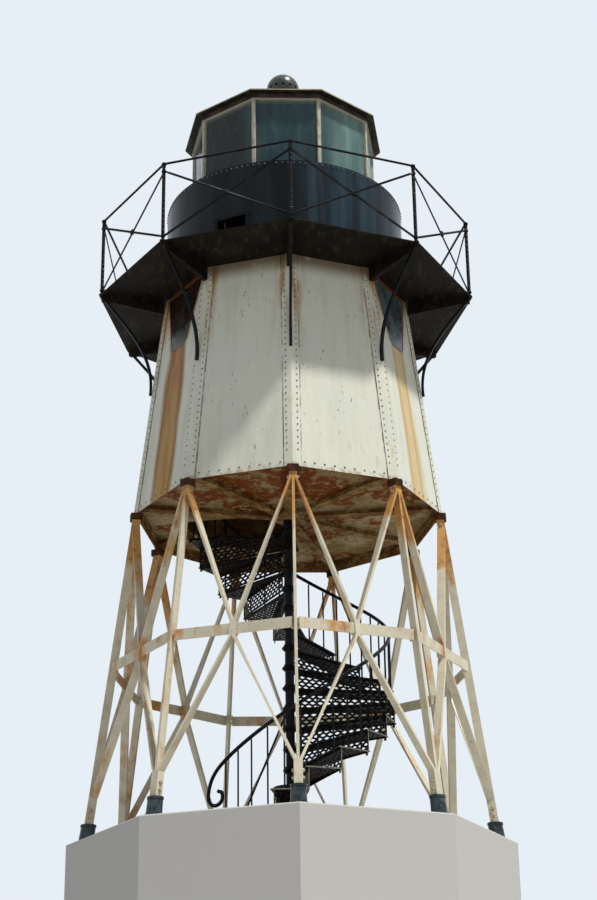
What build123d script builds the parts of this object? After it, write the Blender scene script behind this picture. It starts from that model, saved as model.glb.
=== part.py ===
from build123d import *
from math import atan2, ceil, cos, degrees, hypot, radians, sin, tan
import os

# Nine-sided iron skeleton lighthouse. Millimetres, +Z up.
# The tower axis is Z, the ground is Z = 0 and one corner of the tower faces -Y.
# The origin is the foot of the stair column, which stands on the ground in the middle.

# Plan
side_count = 9
bay_angle = 360 / side_count
half_bay = bay_angle / 2
front_angle = -90
contact_gap = 0.3

# Skeleton of flat bars set on edge
foot_radius = 1848
leg_head_inset = 26
wall_foot_level = 3136
bar_thickness = 24
bar_depth = 76
bar_seat_level = 60
foot_bend_level = 395
band_level = 1618
band_height = 96
band_thickness = 12
band_setback = 11
band_lug_length = 62
brace_meet_rise = 66
head_bend_drop = 60
cut_overrun = 1

# Cast sockets under the legs
socket_height = 177
socket_top_radius = 64.5
socket_base_radius = 70
socket_flange_radius = 82.5
socket_flange_height = 24
socket_collar_radius = 71
socket_collar_height = 20
socket_clearance = 0.6

# Shoes between the leg heads and the walls
shoe_width = 104
shoe_depth = 112
shoe_height = 62
shoe_corner_radius = 14

# Watch-room floor
floor_rise = 105
floor_thickness = 10
floor_beam_flange = 80
floor_beam_plate = 11
floor_beam_depth = 58
floor_hub_radius = 175
floor_hub_depth = 70
rim_bar_depth = 62
rim_bar_thickness = 12
rim_end_clearance = 1
column_hole_clearance = 8
hatch_start = 172
hatch_inner_radius = 120
hatch_edge_clearance = 85

# Watch-room walls of riveted plate
wall_foot_radius = 1481
wall_head_radius = 1211
wall_thickness = 8
wall_height = 2287
strap_width = 78
strap_thickness = 6
strap_face_clearance = 1
window_height = 640
window_head_drop = 48
window_foot_width = 265
window_head_width = 660
window_face_step = 3
first_window_face = 1
pane_thickness = 4
pane_setback = 2
pane_clearance = 0.4

# Gallery
deck_radius = 1879
deck_thickness = 10
deck_beam_width = 46
deck_beam_root_depth = 150
deck_beam_tip_depth = 56
deck_beam_tip_inset = 26
bracket_bar = 26
bracket_drop = 1038
bracket_tip_inset = 40
bracket_head_slope = 1.3
rail_setback = 26
rail_height = 849
rail_bar = 20
post_bar = 30
rail_brace_width = 22
rail_brace_thickness = 8
rail_brace_head_drop = 92
rail_brace_foot_rise = 52
deck_hatch_length = 600
deck_hatch_width = 520
deck_hatch_setback = 640
lantern_floor_inset = 47

# Drum below the lantern
drum_radius = 1197
drum_thickness = 8
drum_height = 1033
drum_ledge_drop = 30
drum_ledge_thickness = 10
door_angle = -27.2
door_width = 372
door_sill = 40
door_height = 498
door_frame_width = 34
door_frame_depth = 60

# Lantern, turned half a bay from the tower
lantern_radius = 941
lantern_floor_step = 62
lantern_curb_width = 70
mullion_width = 38
mullion_depth = 46
mullion_corner_radius = 6
glass_height = 851
glass_thickness = 10
glass_clearance = 0.4
head_beam_height = 65
head_beam_width = 66
eave_overhang = 105
eave_thickness = 14
roof_setback = 12
roof_height = 434
roof_thickness = 8
roof_crown_radius = 96
vent_neck_radius = 78
vent_waist_inset = 16
vent_flange_inset = 8
vent_flange_height = 40
vent_cup_height = 34
vent_cup_rim = 18
vent_ball_radius = 170
vent_ball_rise = 198
vent_ball_wall = 6
vent_hole_radius = 14
vent_hole_count = 14
vent_hole_drop = 20

# Spiral stair
column_radius = 42
pedestal_radius = 135
pedestal_head_radius = 166
pedestal_height = 571
pedestal_head_height = 24
pedestal_taper_height = 52
pedestal_base_radius = 170
pedestal_base_height = 40
pedestal_base_slope = 14
tread_count = 16
first_tread_level = 158
tread_angle = 18
third_tread_azimuth = 5.6
tread_thickness = 12
tread_radius = 980
tread_overlap_angle = 2
riser_thickness = 8
riser_setback = 26
riser_end_inset = 12
web_outer_depth = 44
web_root_depth = 60
web_end_inset = 10
web_bow = 9
web_bow_share = 0.52
web_set_in_angle = 1
hub_radius = 70
hub_height = 56
handrail_inset = 45
handrail_bar_radius = 17
round_bar_sides = 8
handrail_height = 596
handrail_start_azimuth = -40.5
handrail_overrun_angle = 9
scroll_drop = 285
scroll_reach = 82
scroll_start_radius = 100
scroll_end_radius = 37
scroll_start_angle = 20
scroll_turn = 266
scroll_steps = 6
baluster_radius = 8
baluster_set_in_angle = 7.2
ground_baluster_count = 2
ground_baluster_angle = 8
stay_radius = 10
stay_foot_x = -566
stay_step = 6
stay_head_clearance = 5.5

# Worked-out values
leg_head_radius = wall_foot_radius - leg_head_inset
floor_level = wall_foot_level + floor_rise
floor_top = floor_level + floor_thickness
shoe_foot = wall_foot_level - shoe_height
wall_head_level = wall_foot_level + wall_height
window_head_level = wall_head_level - window_head_drop
window_foot_level = window_head_level - window_height
deck_top = wall_head_level + deck_thickness
bracket_foot_level = wall_head_level - bracket_drop
rail_radius = deck_radius - rail_setback
rail_top = deck_top + rail_height
drum_top = deck_top + drum_height
lantern_floor_radius = drum_radius - lantern_floor_inset
ledge_level = drum_top - drum_ledge_drop
glass_foot_level = ledge_level + lantern_floor_step
glass_head_level = glass_foot_level + glass_height
eave_radius = lantern_radius + eave_overhang
hatch_outer_radius = tread_radius + hatch_edge_clearance
handrail_radius = tread_radius - handrail_inset
rise = (floor_top - first_tread_level) / tread_count
first_tread_azimuth = third_tread_azimuth - 2 * tread_angle
rise_per_degree = rise / tread_angle
flat = cos(radians(half_bay))
hatch_end = first_tread_azimuth + tread_count * tread_angle

ring = PolarLocations(0, side_count, start_angle=front_angle)
face_ring = PolarLocations(0, side_count, start_angle=front_angle + half_bay)


def leg_radius(level):
    return foot_radius + (leg_head_radius - foot_radius) * level / wall_foot_level


def wall_radius(level):
    share = (level - wall_foot_level) / wall_height
    return wall_foot_radius + (wall_head_radius - wall_foot_radius) * share


def polar_plane(radius, azimuth, level):
    """Plane at a polar place: local X points outwards, local Y runs round the tower."""
    turn = radians(azimuth + front_angle)
    outwards = (cos(turn), sin(turn), 0)
    return Plane(origin=(radius * cos(turn), radius * sin(turn), level), x_dir=outwards, z_dir=(0, 0, 1))


def seat_plane(radius, side_offset, level):
    """Plane beside the leg that stands on +X, before it is patterned round the tower."""
    return Plane(origin=(radius, side_offset, level), x_dir=(1, 0, 0), z_dir=(0, 0, 1))


def bay_plane(radius, side, level):
    """Plane at the middle of the bay beside the leg that stands on +X."""
    turn = radians(side * half_bay)
    inset = bar_thickness / 2 + contact_gap / 2
    x = radius * cos(turn) + side * inset * sin(turn)
    y = radius * sin(turn) - side * inset * cos(turn)
    return Plane(origin=(x, y, level), x_dir=(cos(turn), sin(turn), 0), z_dir=(0, 0, 1))


def bent_bar(stations):
    """Flat bar through the given planes, bent and twisted from each to the next."""
    with BuildPart() as bar:
        for station in stations:
            with BuildSketch(station):
                Rectangle(bar_depth, bar_thickness)
        loft(ruled=True)
    return bar.part


# Leg sockets
with BuildPart() as socket:
    with BuildSketch(seat_plane(foot_radius, 0, 0)):
        Circle(socket_flange_radius)
    extrude(amount=socket_flange_height)
    with BuildSketch(seat_plane(leg_radius(socket_flange_height), 0, socket_flange_height)):
        Circle(socket_base_radius)
    with BuildSketch(seat_plane(leg_radius(socket_height), 0, socket_height)):
        Circle(socket_top_radius)
    loft()
    with BuildSketch(seat_plane(leg_radius(socket_height - socket_collar_height), 0,
                                socket_height - socket_collar_height)):
        Circle(socket_collar_radius)
    extrude(amount=socket_collar_height)
    for level in (bar_seat_level, socket_height + cut_overrun):
        with BuildSketch(seat_plane(leg_radius(level), 0, level)):
            Rectangle(bar_depth + 2 * socket_clearance,
                      3 * bar_thickness + 2 * contact_gap + 2 * socket_clearance)
    loft(ruled=True, mode=Mode.SUBTRACT)

with BuildPart() as leg_sockets:
    with ring:
        add(socket.part)
leg_sockets.part.label = "leg_sockets"

# Legs
leg = bent_bar([seat_plane(leg_radius(bar_seat_level), 0, bar_seat_level),
                seat_plane(leg_radius(shoe_foot), 0, shoe_foot)])

with BuildPart() as leg_bars:
    with ring:
        add(leg)
leg_bars.part.label = "leg_bars"

# Braces: each starts beside its leg in the socket, bends out to the middle of the bay,
# stands there beside its neighbour across the ring band and bends back to the leg's head
brace_offset = bar_thickness + contact_gap
meet_foot = band_level - brace_meet_rise
meet_head = band_level + brace_meet_rise
head_bend_level = shoe_foot - head_bend_drop


def lower_brace(side):
    offset = side * brace_offset
    return bent_bar([seat_plane(leg_radius(bar_seat_level), offset, bar_seat_level),
                     seat_plane(leg_radius(foot_bend_level), offset, foot_bend_level),
                     bay_plane(leg_radius(meet_foot) * flat, side, meet_foot),
                     bay_plane(leg_radius(band_level) * flat, side, band_level)])


def upper_brace(side):
    offset = side * brace_offset
    foot = band_level + contact_gap
    return bent_bar([bay_plane(leg_radius(foot) * flat, side, foot),
                     bay_plane(leg_radius(meet_head) * flat, side, meet_head),
                     seat_plane(leg_radius(head_bend_level), offset, head_bend_level),
                     seat_plane(leg_radius(shoe_foot), offset, shoe_foot)])


with BuildPart() as lower_brace_bars:
    with ring:
        for side in (-1, 1):
            add(lower_brace(side))
lower_brace_bars.part.label = "lower_brace_bars"

with BuildPart() as upper_brace_bars:
    with ring:
        for side in (-1, 1):
            add(upper_brace(side))
upper_brace_bars.part.label = "upper_brace_bars"

# Ring band: short lengths from leg to brace, with ends turned in as lugs
band_face = leg_radius(band_level) * flat + bar_depth / 2 - band_setback
band_run = leg_radius(band_level) * sin(radians(half_bay))
brace_side = bar_thickness + contact_gap / 2 + contact_gap
leg_side = band_run - (bar_thickness / 2 + contact_gap) / flat - bar_depth / 2 * tan(radians(half_bay))


def band_length(side):
    """One length of the band in the bay whose middle stands on +X."""
    inner_face = band_face - band_thickness
    lug_end = band_face - band_lug_length
    with BuildPart() as length:
        with BuildSketch(Plane.XY.offset(band_level - band_height / 2)):
            with BuildLine():
                Polyline((band_face, side * brace_side), (band_face, side * leg_side),
                         (lug_end, side * leg_side), (lug_end, side * (leg_side - band_thickness)),
                         (inner_face, side * (leg_side - band_thickness)),
                         (inner_face, side * (brace_side + band_thickness)),
                         (lug_end, side * (brace_side + band_thickness)),
                         (lug_end, side * brace_side), close=True)
            make_face()
        extrude(amount=band_height)
    return length.part


with BuildPart() as ring_band_bars:
    with face_ring:
        for side in (-1, 1):
            add(band_length(side))
ring_band_bars.part.label = "ring_band_bars"

# Corner shoes on the leg heads
with BuildPart() as shoe:
    with BuildSketch(seat_plane(leg_radius(shoe_foot), 0, shoe_foot)):
        Rectangle(shoe_depth, shoe_width)
    extrude(amount=shoe_height)
    fillet(shoe.edges().filter_by(Axis.Z), radius=shoe_corner_radius)

with BuildPart() as corner_shoes:
    with ring:
        add(shoe.part)
corner_shoes.part.label = "corner_shoes"

# Floor plates, one a bay, with the stair hatch cut through three of them
hatch_span = hatch_end - hatch_start


def hatch_sector(inner_radius, outer_radius):
    """Flat face of the stair hatch between two radii."""
    with BuildSketch() as sector:
        with BuildLine():
            outer = CenterArc((0, 0), outer_radius, hatch_start + front_angle, hatch_span)
            inner = CenterArc((0, 0), inner_radius, hatch_start + front_angle, hatch_span)
            Line(outer @ 0, inner @ 0)
            Line(outer @ 1, inner @ 1)
        make_face()
    return sector.sketch


def bay_plate(inner_radius, outer_radius, level, height):
    """One bay of a ring of plates, centred on +X, with open joints to its neighbours."""
    outline = []
    for radius in (inner_radius, outer_radius):
        outline.append((radius * flat, radius * sin(radians(half_bay)) - contact_gap / 2))
    outline += [(x, -y) for x, y in reversed(outline)]
    with BuildPart() as plate:
        with BuildSketch(Plane.XY.offset(level)):
            with BuildLine():
                Polyline(*outline, close=True)
            make_face()
        extrude(amount=height)
    return plate.part


floor_edge_radius = wall_radius(floor_top) - (wall_thickness + contact_gap) / flat
with BuildPart() as floor_plates:
    with face_ring:
        add(bay_plate(column_radius + column_hole_clearance, floor_edge_radius, floor_level, floor_thickness))
    with BuildSketch(Plane.XY.offset(floor_level)):
        add(hatch_sector(hatch_inner_radius, hatch_outer_radius))
    extrude(amount=floor_thickness, mode=Mode.SUBTRACT)
floor_plates.part.label = "floor_plates"

# T-shaped beams under the floor, from the hub to the rim bars and cut short where the hatch is
rim_face = wall_radius(floor_level) * flat - wall_thickness - contact_gap
rim_back = rim_face - rim_bar_thickness
beam_end = (rim_back - floor_beam_flange / 2 * sin(radians(half_bay))) / flat - contact_gap


def floor_beam(inner_radius):
    section = Plane(origin=(inner_radius, 0, floor_level), x_dir=(0, 1, 0), z_dir=(1, 0, 0))
    with BuildPart() as beam:
        with BuildSketch(section):
            Rectangle(floor_beam_plate, floor_beam_depth, align=(Align.CENTER, Align.MAX))
            with Locations((0, -floor_beam_depth)):
                Rectangle(floor_beam_flange, floor_beam_plate, align=(Align.CENTER, Align.MIN))
        extrude(amount=beam_end - inner_radius)
    return beam.part


with BuildPart() as floor_beams:
    for corner in range(side_count):
        azimuth = corner * bay_angle
        over_hatch = hatch_start - half_bay / 2 < azimuth < hatch_end
        reach_in = hatch_outer_radius if over_hatch else floor_hub_radius
        with Locations(Rotation(0, 0, azimuth + front_angle)):
            add(floor_beam(reach_in + contact_gap))
floor_beams.part.label = "floor_beams"

# Hub ring that ties the beams round the stair column
with BuildPart() as floor_hub:
    with BuildSketch(Plane.XY.offset(floor_level - floor_hub_depth)):
        Circle(floor_hub_radius)
        Circle(column_radius + contact_gap, mode=Mode.SUBTRACT)
        add(hatch_sector(hatch_inner_radius, floor_hub_radius + cut_overrun), mode=Mode.SUBTRACT)
    extrude(amount=floor_hub_depth)
floor_hub.part.label = "floor_hub"

# Rim bars under the edge of the floor, against the inside of the walls
rim_half_length = rim_back * tan(radians(half_bay)) - rim_end_clearance
with BuildPart() as rim_bar:
    with BuildSketch(Plane.XY.offset(floor_level - rim_bar_depth)):
        with Locations((rim_face - rim_bar_thickness / 2, 0)):
            Rectangle(rim_bar_thickness, 2 * rim_half_length)
    extrude(amount=rim_bar_depth)

with BuildPart() as floor_rim_bars:
    with face_ring:
        add(rim_bar.part)
floor_rim_bars.part.label = "floor_rim_bars"


# Wall panels, one a side, narrowing upwards
def wall_panel():
    with BuildPart() as panel:
        for level in (wall_foot_level, wall_head_level):
            outer = wall_radius(level) * flat
            half_width = wall_radius(level) * sin(radians(half_bay)) - contact_gap
            back = wall_thickness * tan(radians(half_bay))
            with BuildSketch(Plane.XY.offset(level)):
                with BuildLine():
                    Polyline((outer, -half_width), (outer, half_width),
                             (outer - wall_thickness, half_width - back),
                             (outer - wall_thickness, back - half_width), close=True)
                make_face()
        loft(ruled=True)
    return panel.part


def window_opening():
    """Deadlight under the deck, wide at its head and narrow at its foot."""
    with BuildPart() as opening:
        with BuildSketch(Plane.YZ.offset(wall_head_radius * flat / 2)):
            with BuildLine():
                Polyline((-window_foot_width / 2, window_foot_level),
                         (window_foot_width / 2, window_foot_level),
                         (window_head_width / 2, window_head_level),
                         (-window_head_width / 2, window_head_level), close=True)
            make_face()
        extrude(amount=wall_foot_radius)
    return opening.part


with BuildPart() as plain_walls:
    for face in range(side_count):
        if face % window_face_step != first_window_face:
            with Locations(Rotation(0, 0, front_angle + half_bay + face * bay_angle)):
                add(wall_panel())
plain_walls.part.label = "plain_walls"

with BuildPart() as window_walls:
    for face in range(first_window_face, side_count, window_face_step):
        with Locations(Rotation(0, 0, front_angle + half_bay + face * bay_angle)):
            add(wall_panel())
            add(window_opening(), mode=Mode.SUBTRACT)
window_walls.part.label = "window_walls"

# Window panes, set in the leaning wall a little behind its face
pane_foot = window_foot_level + pane_clearance
pane_head = window_head_level - pane_clearance
window_splay = (window_head_width - window_foot_width) / (2 * window_height)
with BuildPart() as window_pane:
    for level in (pane_foot, pane_head):
        half_width = window_foot_width / 2 + (level - window_foot_level) * window_splay - pane_clearance
        face = wall_radius(level) * flat - pane_setback
        with BuildSketch(Plane.XY.offset(level)):
            with Locations((face - pane_thickness / 2, 0)):
                Rectangle(pane_thickness, 2 * half_width)
    loft(ruled=True)

with BuildPart() as window_panes:
    for face in range(first_window_face, side_count, window_face_step):
        with Locations(Rotation(0, 0, front_angle + half_bay + face * bay_angle)):
            add(window_pane.part)
window_panes.part.label = "window_panes"

# Corner straps: bent plates over the joints of the wall panels
strap_skin = contact_gap / flat


def strap_outline(level, thickness):
    """Chevron round the wall corner that stands on +X."""
    corner = wall_radius(level) + strap_skin
    run_in = strap_width * sin(radians(half_bay))
    run_out = strap_width * flat
    step_x = thickness * flat
    step_y = thickness * sin(radians(half_bay))
    return [(corner + thickness / flat, 0), (corner - run_in + step_x, run_out + step_y),
            (corner - run_in, run_out), (corner, 0), (corner - run_in, -run_out),
            (corner - run_in + step_x, -run_out - step_y)]


with BuildPart() as strap:
    for level in (wall_foot_level, wall_head_level):
        with BuildSketch(Plane.XY.offset(level)):
            with BuildLine():
                Polyline(*strap_outline(level, strap_thickness), close=True)
            make_face()
    loft(ruled=True)

with BuildPart() as corner_straps:
    with ring:
        add(strap.part)
corner_straps.part.label = "corner_straps"

# Gallery deck plates, one a bay, and the lantern floor inside them
with BuildPart() as gallery_deck:
    with face_ring:
        add(bay_plate(lantern_floor_radius, deck_radius, wall_head_level, deck_thickness))
gallery_deck.part.label = "gallery_deck"

with BuildPart() as lantern_floor:
    with BuildSketch(Plane.XY.offset(wall_head_level)):
        RegularPolygon(lantern_floor_radius - contact_gap, side_count, rotation=front_angle)
        with Locations((0, deck_hatch_setback)):
            Rectangle(deck_hatch_width, deck_hatch_length, mode=Mode.SUBTRACT)
    extrude(amount=deck_thickness)
lantern_floor.part.label = "lantern_floor"

# Deck beams, deep at the wall and shallow at the deck's corner
strap_reach = (strap_thickness + strap_face_clearance) / flat
beam_root = wall_radius(wall_head_level - deck_beam_root_depth) + strap_reach
beam_tip = deck_radius - deck_beam_tip_inset
beam_root_level = wall_head_level - deck_beam_root_depth
beam_tip_level = wall_head_level - deck_beam_tip_depth
with BuildPart() as deck_beam:
    with BuildSketch(Plane.XZ):
        with BuildLine():
            Polyline((beam_root, wall_head_level), (beam_tip, wall_head_level),
                     (beam_tip, beam_tip_level), (beam_root, beam_root_level), close=True)
        make_face()
    extrude(amount=deck_beam_width / 2, both=True)

with BuildPart() as deck_beams:
    with ring:
        add(deck_beam.part)
deck_beams.part.label = "deck_beams"

# Gallery brackets: square bars from the wall corner out to the deck's corner
beam_slope = (beam_tip_level - beam_root_level) / (beam_tip - beam_root)
bracket_tip = beam_tip - bracket_tip_inset
bracket_tip_level = beam_root_level + beam_slope * (bracket_tip - beam_root)
bracket_foot_radius = wall_radius(bracket_foot_level) + strap_reach + bracket_bar / 2
with BuildPart() as bracket:
    with BuildLine():
        bracket_foot = (bracket_foot_radius, 0, bracket_foot_level)
        bracket_head = (bracket_tip, 0, bracket_tip_level + bracket_bar / 2)
        lean = wall_radius(bracket_foot_level) - wall_radius(bracket_foot_level + 1)
        Spline(bracket_foot, bracket_head, tangents=((-lean, 0, 1), (1, 0, bracket_head_slope)))
    with BuildSketch(Plane(origin=bracket_foot, z_dir=(-lean, 0, 1), x_dir=(0, 1, 0))):
        Rectangle(bracket_bar, bracket_bar)
    sweep()
    with BuildSketch(Plane.XZ):
        with BuildLine():
            underside = beam_root_level - contact_gap
            Polyline((beam_root, underside), (deck_radius, underside + beam_slope * (deck_radius - beam_root)),
                     (deck_radius, wall_head_level), (beam_root, wall_head_level), close=True)
        make_face()
    extrude(amount=bracket_bar, both=True, mode=Mode.SUBTRACT)

with BuildPart() as deck_brackets:
    with ring:
        add(bracket.part)
deck_brackets.part.label = "deck_brackets"

# Gallery rail
with BuildPart() as post:
    with BuildSketch(seat_plane(rail_radius, 0, deck_top)):
        Circle(post_bar / 2)
    extrude(amount=rail_height - rail_bar)
    with BuildSketch(seat_plane(rail_radius, 0, deck_top)):
        Circle(post_bar)
    extrude(amount=post_bar / 2)

with BuildPart() as rail_posts:
    with ring:
        add(post.part)
rail_posts.part.label = "rail_posts"

rail_reach = rail_bar / 2 / flat
with BuildPart() as top_rail:
    add(bay_plate(rail_radius - rail_reach, rail_radius + rail_reach, rail_top - rail_bar, rail_bar))
    chamfer(top_rail.edges().filter_by(Axis.Y), length=rail_bar / 4)

with BuildPart() as top_rails:
    with face_ring:
        add(top_rail.part)
top_rails.part.label = "top_rails"

# Crossed flat bars between the posts, one set outside the other
brace_foot_level = deck_top + rail_brace_foot_rise
brace_head_level = rail_top - rail_brace_head_drop
rail_apothem = rail_radius * flat
brace_half_run = rail_radius * sin(radians(half_bay))
brace_lean = atan2(brace_head_level - brace_foot_level, 2 * brace_half_run)
brace_length = hypot(brace_head_level - brace_foot_level, 2 * brace_half_run)


def rail_brace(side):
    stand_off = rail_apothem + side * (rail_brace_thickness / 2 + contact_gap / 2)
    middle = (brace_foot_level + brace_head_level) / 2
    with BuildPart() as brace:
        plane = Plane(origin=(stand_off, 0, middle), x_dir=(0, 1, 0), z_dir=(1, 0, 0))
        with BuildSketch(plane):
            Rectangle(brace_length, rail_brace_width, rotation=side * degrees(brace_lean))
        extrude(amount=rail_brace_thickness / 2, both=True)
        with BuildSketch(Plane.XY.offset(deck_top)):
            with Locations((rail_apothem, -brace_half_run), (rail_apothem, brace_half_run)):
                Circle(post_bar / 2 + contact_gap)
        extrude(amount=rail_height, mode=Mode.SUBTRACT)
    return brace.part


with BuildPart() as outer_rail_braces:
    with face_ring:
        add(rail_brace(1))
outer_rail_braces.part.label = "outer_rail_braces"

with BuildPart() as inner_rail_braces:
    with face_ring:
        add(rail_brace(-1))
inner_rail_braces.part.label = "inner_rail_braces"

# Drum of nine curved plates, one of them with the low doorway
drum_joint = degrees(contact_gap / drum_radius)


def drum_plate(azimuth):
    """Curved plate of the drum, centred on an azimuth."""
    with BuildPart() as plate:
        with BuildSketch(Plane.XY.offset(deck_top)):
            with BuildLine():
                first = azimuth + front_angle - half_bay
                outer = CenterArc((0, 0), drum_radius, first, bay_angle - drum_joint)
                inner = CenterArc((0, 0), drum_radius - drum_thickness, first, bay_angle - drum_joint)
                Line(outer @ 0, inner @ 0)
                Line(outer @ 1, inner @ 1)
            make_face()
        extrude(amount=drum_height)
    return plate.part


with BuildPart() as drum_plates:
    for plate in range(1, side_count):
        add(drum_plate(door_angle + plate * bay_angle))
drum_plates.part.label = "drum_plates"

doorway = polar_plane(drum_radius - door_frame_depth, door_angle, deck_top + door_sill)
door_plane = Plane(origin=doorway.origin, x_dir=doorway.y_dir, z_dir=doorway.x_dir)
with BuildPart() as doorway_plate:
    add(drum_plate(door_angle))
    with BuildSketch(door_plane):
        Rectangle(door_width, door_height - door_sill, align=(Align.CENTER, Align.MIN))
    extrude(amount=2 * door_frame_depth, mode=Mode.SUBTRACT)
doorway_plate.part.label = "doorway_plate"

# Door frame set in the doorway
with BuildPart() as door_frame:
    with BuildSketch(door_plane):
        with Locations((0, contact_gap)):
            Rectangle(door_width - 2 * contact_gap, door_height - door_sill - 2 * contact_gap,
                      align=(Align.CENTER, Align.MIN))
        with Locations((0, door_frame_width)):
            Rectangle(door_width - 2 * door_frame_width, door_height - door_sill - 2 * door_frame_width,
                      align=(Align.CENTER, Align.MIN), mode=Mode.SUBTRACT)
    extrude(amount=door_frame_depth)
door_frame.part.label = "door_frame"

# Ledge that closes the ring between the drum and the lantern
curb_outer = lantern_radius + lantern_curb_width / 2
curb_inner = lantern_radius - lantern_curb_width / 2
with BuildPart() as drum_ledge:
    with BuildSketch(Plane.XY.offset(ledge_level - drum_ledge_thickness)):
        Circle(drum_radius - drum_thickness - contact_gap)
        RegularPolygon(curb_inner, side_count, rotation=front_angle + half_bay, mode=Mode.SUBTRACT)
    extrude(amount=drum_ledge_thickness)
drum_ledge.part.label = "drum_ledge"

# Lantern curb
with BuildPart() as lantern_curb:
    with ring:
        add(bay_plate(curb_inner, curb_outer, ledge_level, lantern_floor_step))
lantern_curb.part.label = "lantern_curb"

# Mullions at the lantern corners
with BuildPart() as mullion:
    with BuildSketch(seat_plane(lantern_radius, 0, glass_foot_level)):
        Rectangle(mullion_depth, mullion_width)
    extrude(amount=glass_head_level - glass_foot_level)
    fillet(mullion.edges().filter_by(Axis.Z), radius=mullion_corner_radius)

with BuildPart() as lantern_mullions:
    with face_ring:
        add(mullion.part)
lantern_mullions.part.label = "lantern_mullions"

# Glass panes between the mullions
pane_half_width = (lantern_radius * sin(radians(half_bay)) - mullion_width / 2 * flat
                   - mullion_depth / 2 * sin(radians(half_bay)) - glass_clearance)
with BuildPart() as pane:
    with BuildSketch(Plane.XY.offset(glass_foot_level + glass_clearance)):
        with Locations((lantern_radius * flat, 0)):
            Rectangle(glass_thickness, 2 * pane_half_width)
    extrude(amount=glass_head_level - glass_foot_level - 2 * glass_clearance)

with BuildPart() as lantern_panes:
    with ring:
        add(pane.part)
lantern_panes.part.label = "lantern_panes"

# Head beam over the glass, and the flat eave on it
head_inner = lantern_radius - head_beam_width / 2
head_outer = lantern_radius + head_beam_width / 2
with BuildPart() as lantern_head:
    with ring:
        add(bay_plate(head_inner, head_outer, glass_head_level, head_beam_height))
lantern_head.part.label = "lantern_head"

eave_level = glass_head_level + head_beam_height
eave_top = eave_level + eave_thickness
with BuildPart() as eave:
    with ring:
        add(bay_plate(head_inner, eave_radius, eave_level, eave_thickness))
eave.part.label = "eave"

# Roof of nine plates on the eave
roof_foot_radius = eave_radius - roof_setback
roof_apex_level = eave_top + roof_height
roof_slope = roof_height / roof_foot_radius
crown_level = roof_apex_level - roof_slope * roof_crown_radius
roof_skin = roof_thickness / cos(atan2(roof_height, roof_foot_radius * flat))
with BuildPart() as roof:
    for radius, level in ((roof_foot_radius, eave_top), (roof_crown_radius, crown_level)):
        with BuildSketch(Plane.XY.offset(level)):
            RegularPolygon(radius, side_count, rotation=front_angle + half_bay)
    loft(ruled=True)
    inner_foot = roof_foot_radius - roof_skin / roof_slope
    for radius, level in ((inner_foot, eave_top), (1, eave_top + roof_slope * (inner_foot - 1))):
        with BuildSketch(Plane.XY.offset(level)):
            RegularPolygon(radius, side_count, rotation=front_angle + half_bay)
    loft(ruled=True, mode=Mode.SUBTRACT)
roof.part.label = "roof"

# Ventilator: a neck on the crown and a hollow ball with a row of holes
vent_ball_level = roof_apex_level + vent_ball_rise
neck_top = vent_ball_level - (vent_ball_radius ** 2 - vent_neck_radius ** 2) ** 0.5
vent_waist_radius = vent_neck_radius - vent_waist_inset
with BuildPart() as vent_neck:
    with BuildSketch(Plane.XZ):
        with BuildLine():
            Polyline((0, crown_level), (roof_crown_radius - vent_flange_inset, crown_level),
                     (vent_waist_radius, crown_level + vent_flange_height),
                     (vent_waist_radius, neck_top - vent_cup_height),
                     (vent_neck_radius, neck_top - vent_cup_rim),
                     (vent_neck_radius, neck_top - contact_gap), (0, neck_top - contact_gap), close=True)
        make_face()
    revolve(axis=Axis.Z)
vent_neck.part.label = "vent_neck"

ball_cut_depth = 2 * vent_ball_radius
with BuildPart() as vent_ball:
    with Locations((0, 0, vent_ball_level)):
        Sphere(vent_ball_radius)
        Sphere(vent_ball_radius - vent_ball_wall, mode=Mode.SUBTRACT)
    with BuildSketch(Plane.XY.offset(neck_top)):
        Circle(vent_ball_radius)
    extrude(amount=-ball_cut_depth, mode=Mode.SUBTRACT)
    with PolarLocations(0, vent_hole_count, start_angle=front_angle):
        with Locations(Location((vent_ball_radius, 0, vent_ball_level - vent_hole_drop), (0, 90, 0))):
            Cylinder(vent_hole_radius, 4 * vent_ball_wall, mode=Mode.SUBTRACT)
vent_ball.part.label = "vent_ball"

# Stair column on its pedestal
with BuildPart() as stair_pedestal:
    with BuildSketch(Plane.XZ):
        with BuildLine():
            head_foot = pedestal_height - pedestal_head_height
            Polyline((0, 0), (pedestal_base_radius, 0), (pedestal_base_radius, pedestal_base_height),
                     (pedestal_radius, pedestal_base_height + pedestal_base_slope),
                     (pedestal_radius, head_foot - pedestal_taper_height),
                     (pedestal_head_radius, head_foot), (pedestal_head_radius, pedestal_height),
                     (0, pedestal_height), close=True)
        make_face()
    revolve(axis=Axis.Z)
stair_pedestal.part.label = "stair_pedestal"

with BuildPart() as stair_column:
    with BuildSketch(Plane.XY.offset(pedestal_height)):
        Circle(column_radius)
    extrude(amount=floor_level - pedestal_height)
stair_column.part.label = "stair_column"

# Treads: plate, riser behind the nosing, curved web under the rear edge and a collar on the column
tread_sweep = tread_angle + tread_overlap_angle
collar_bore = column_radius + contact_gap


def sector_point(radius, angle):
    return (radius * cos(radians(angle)), radius * sin(radians(angle)))


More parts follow.
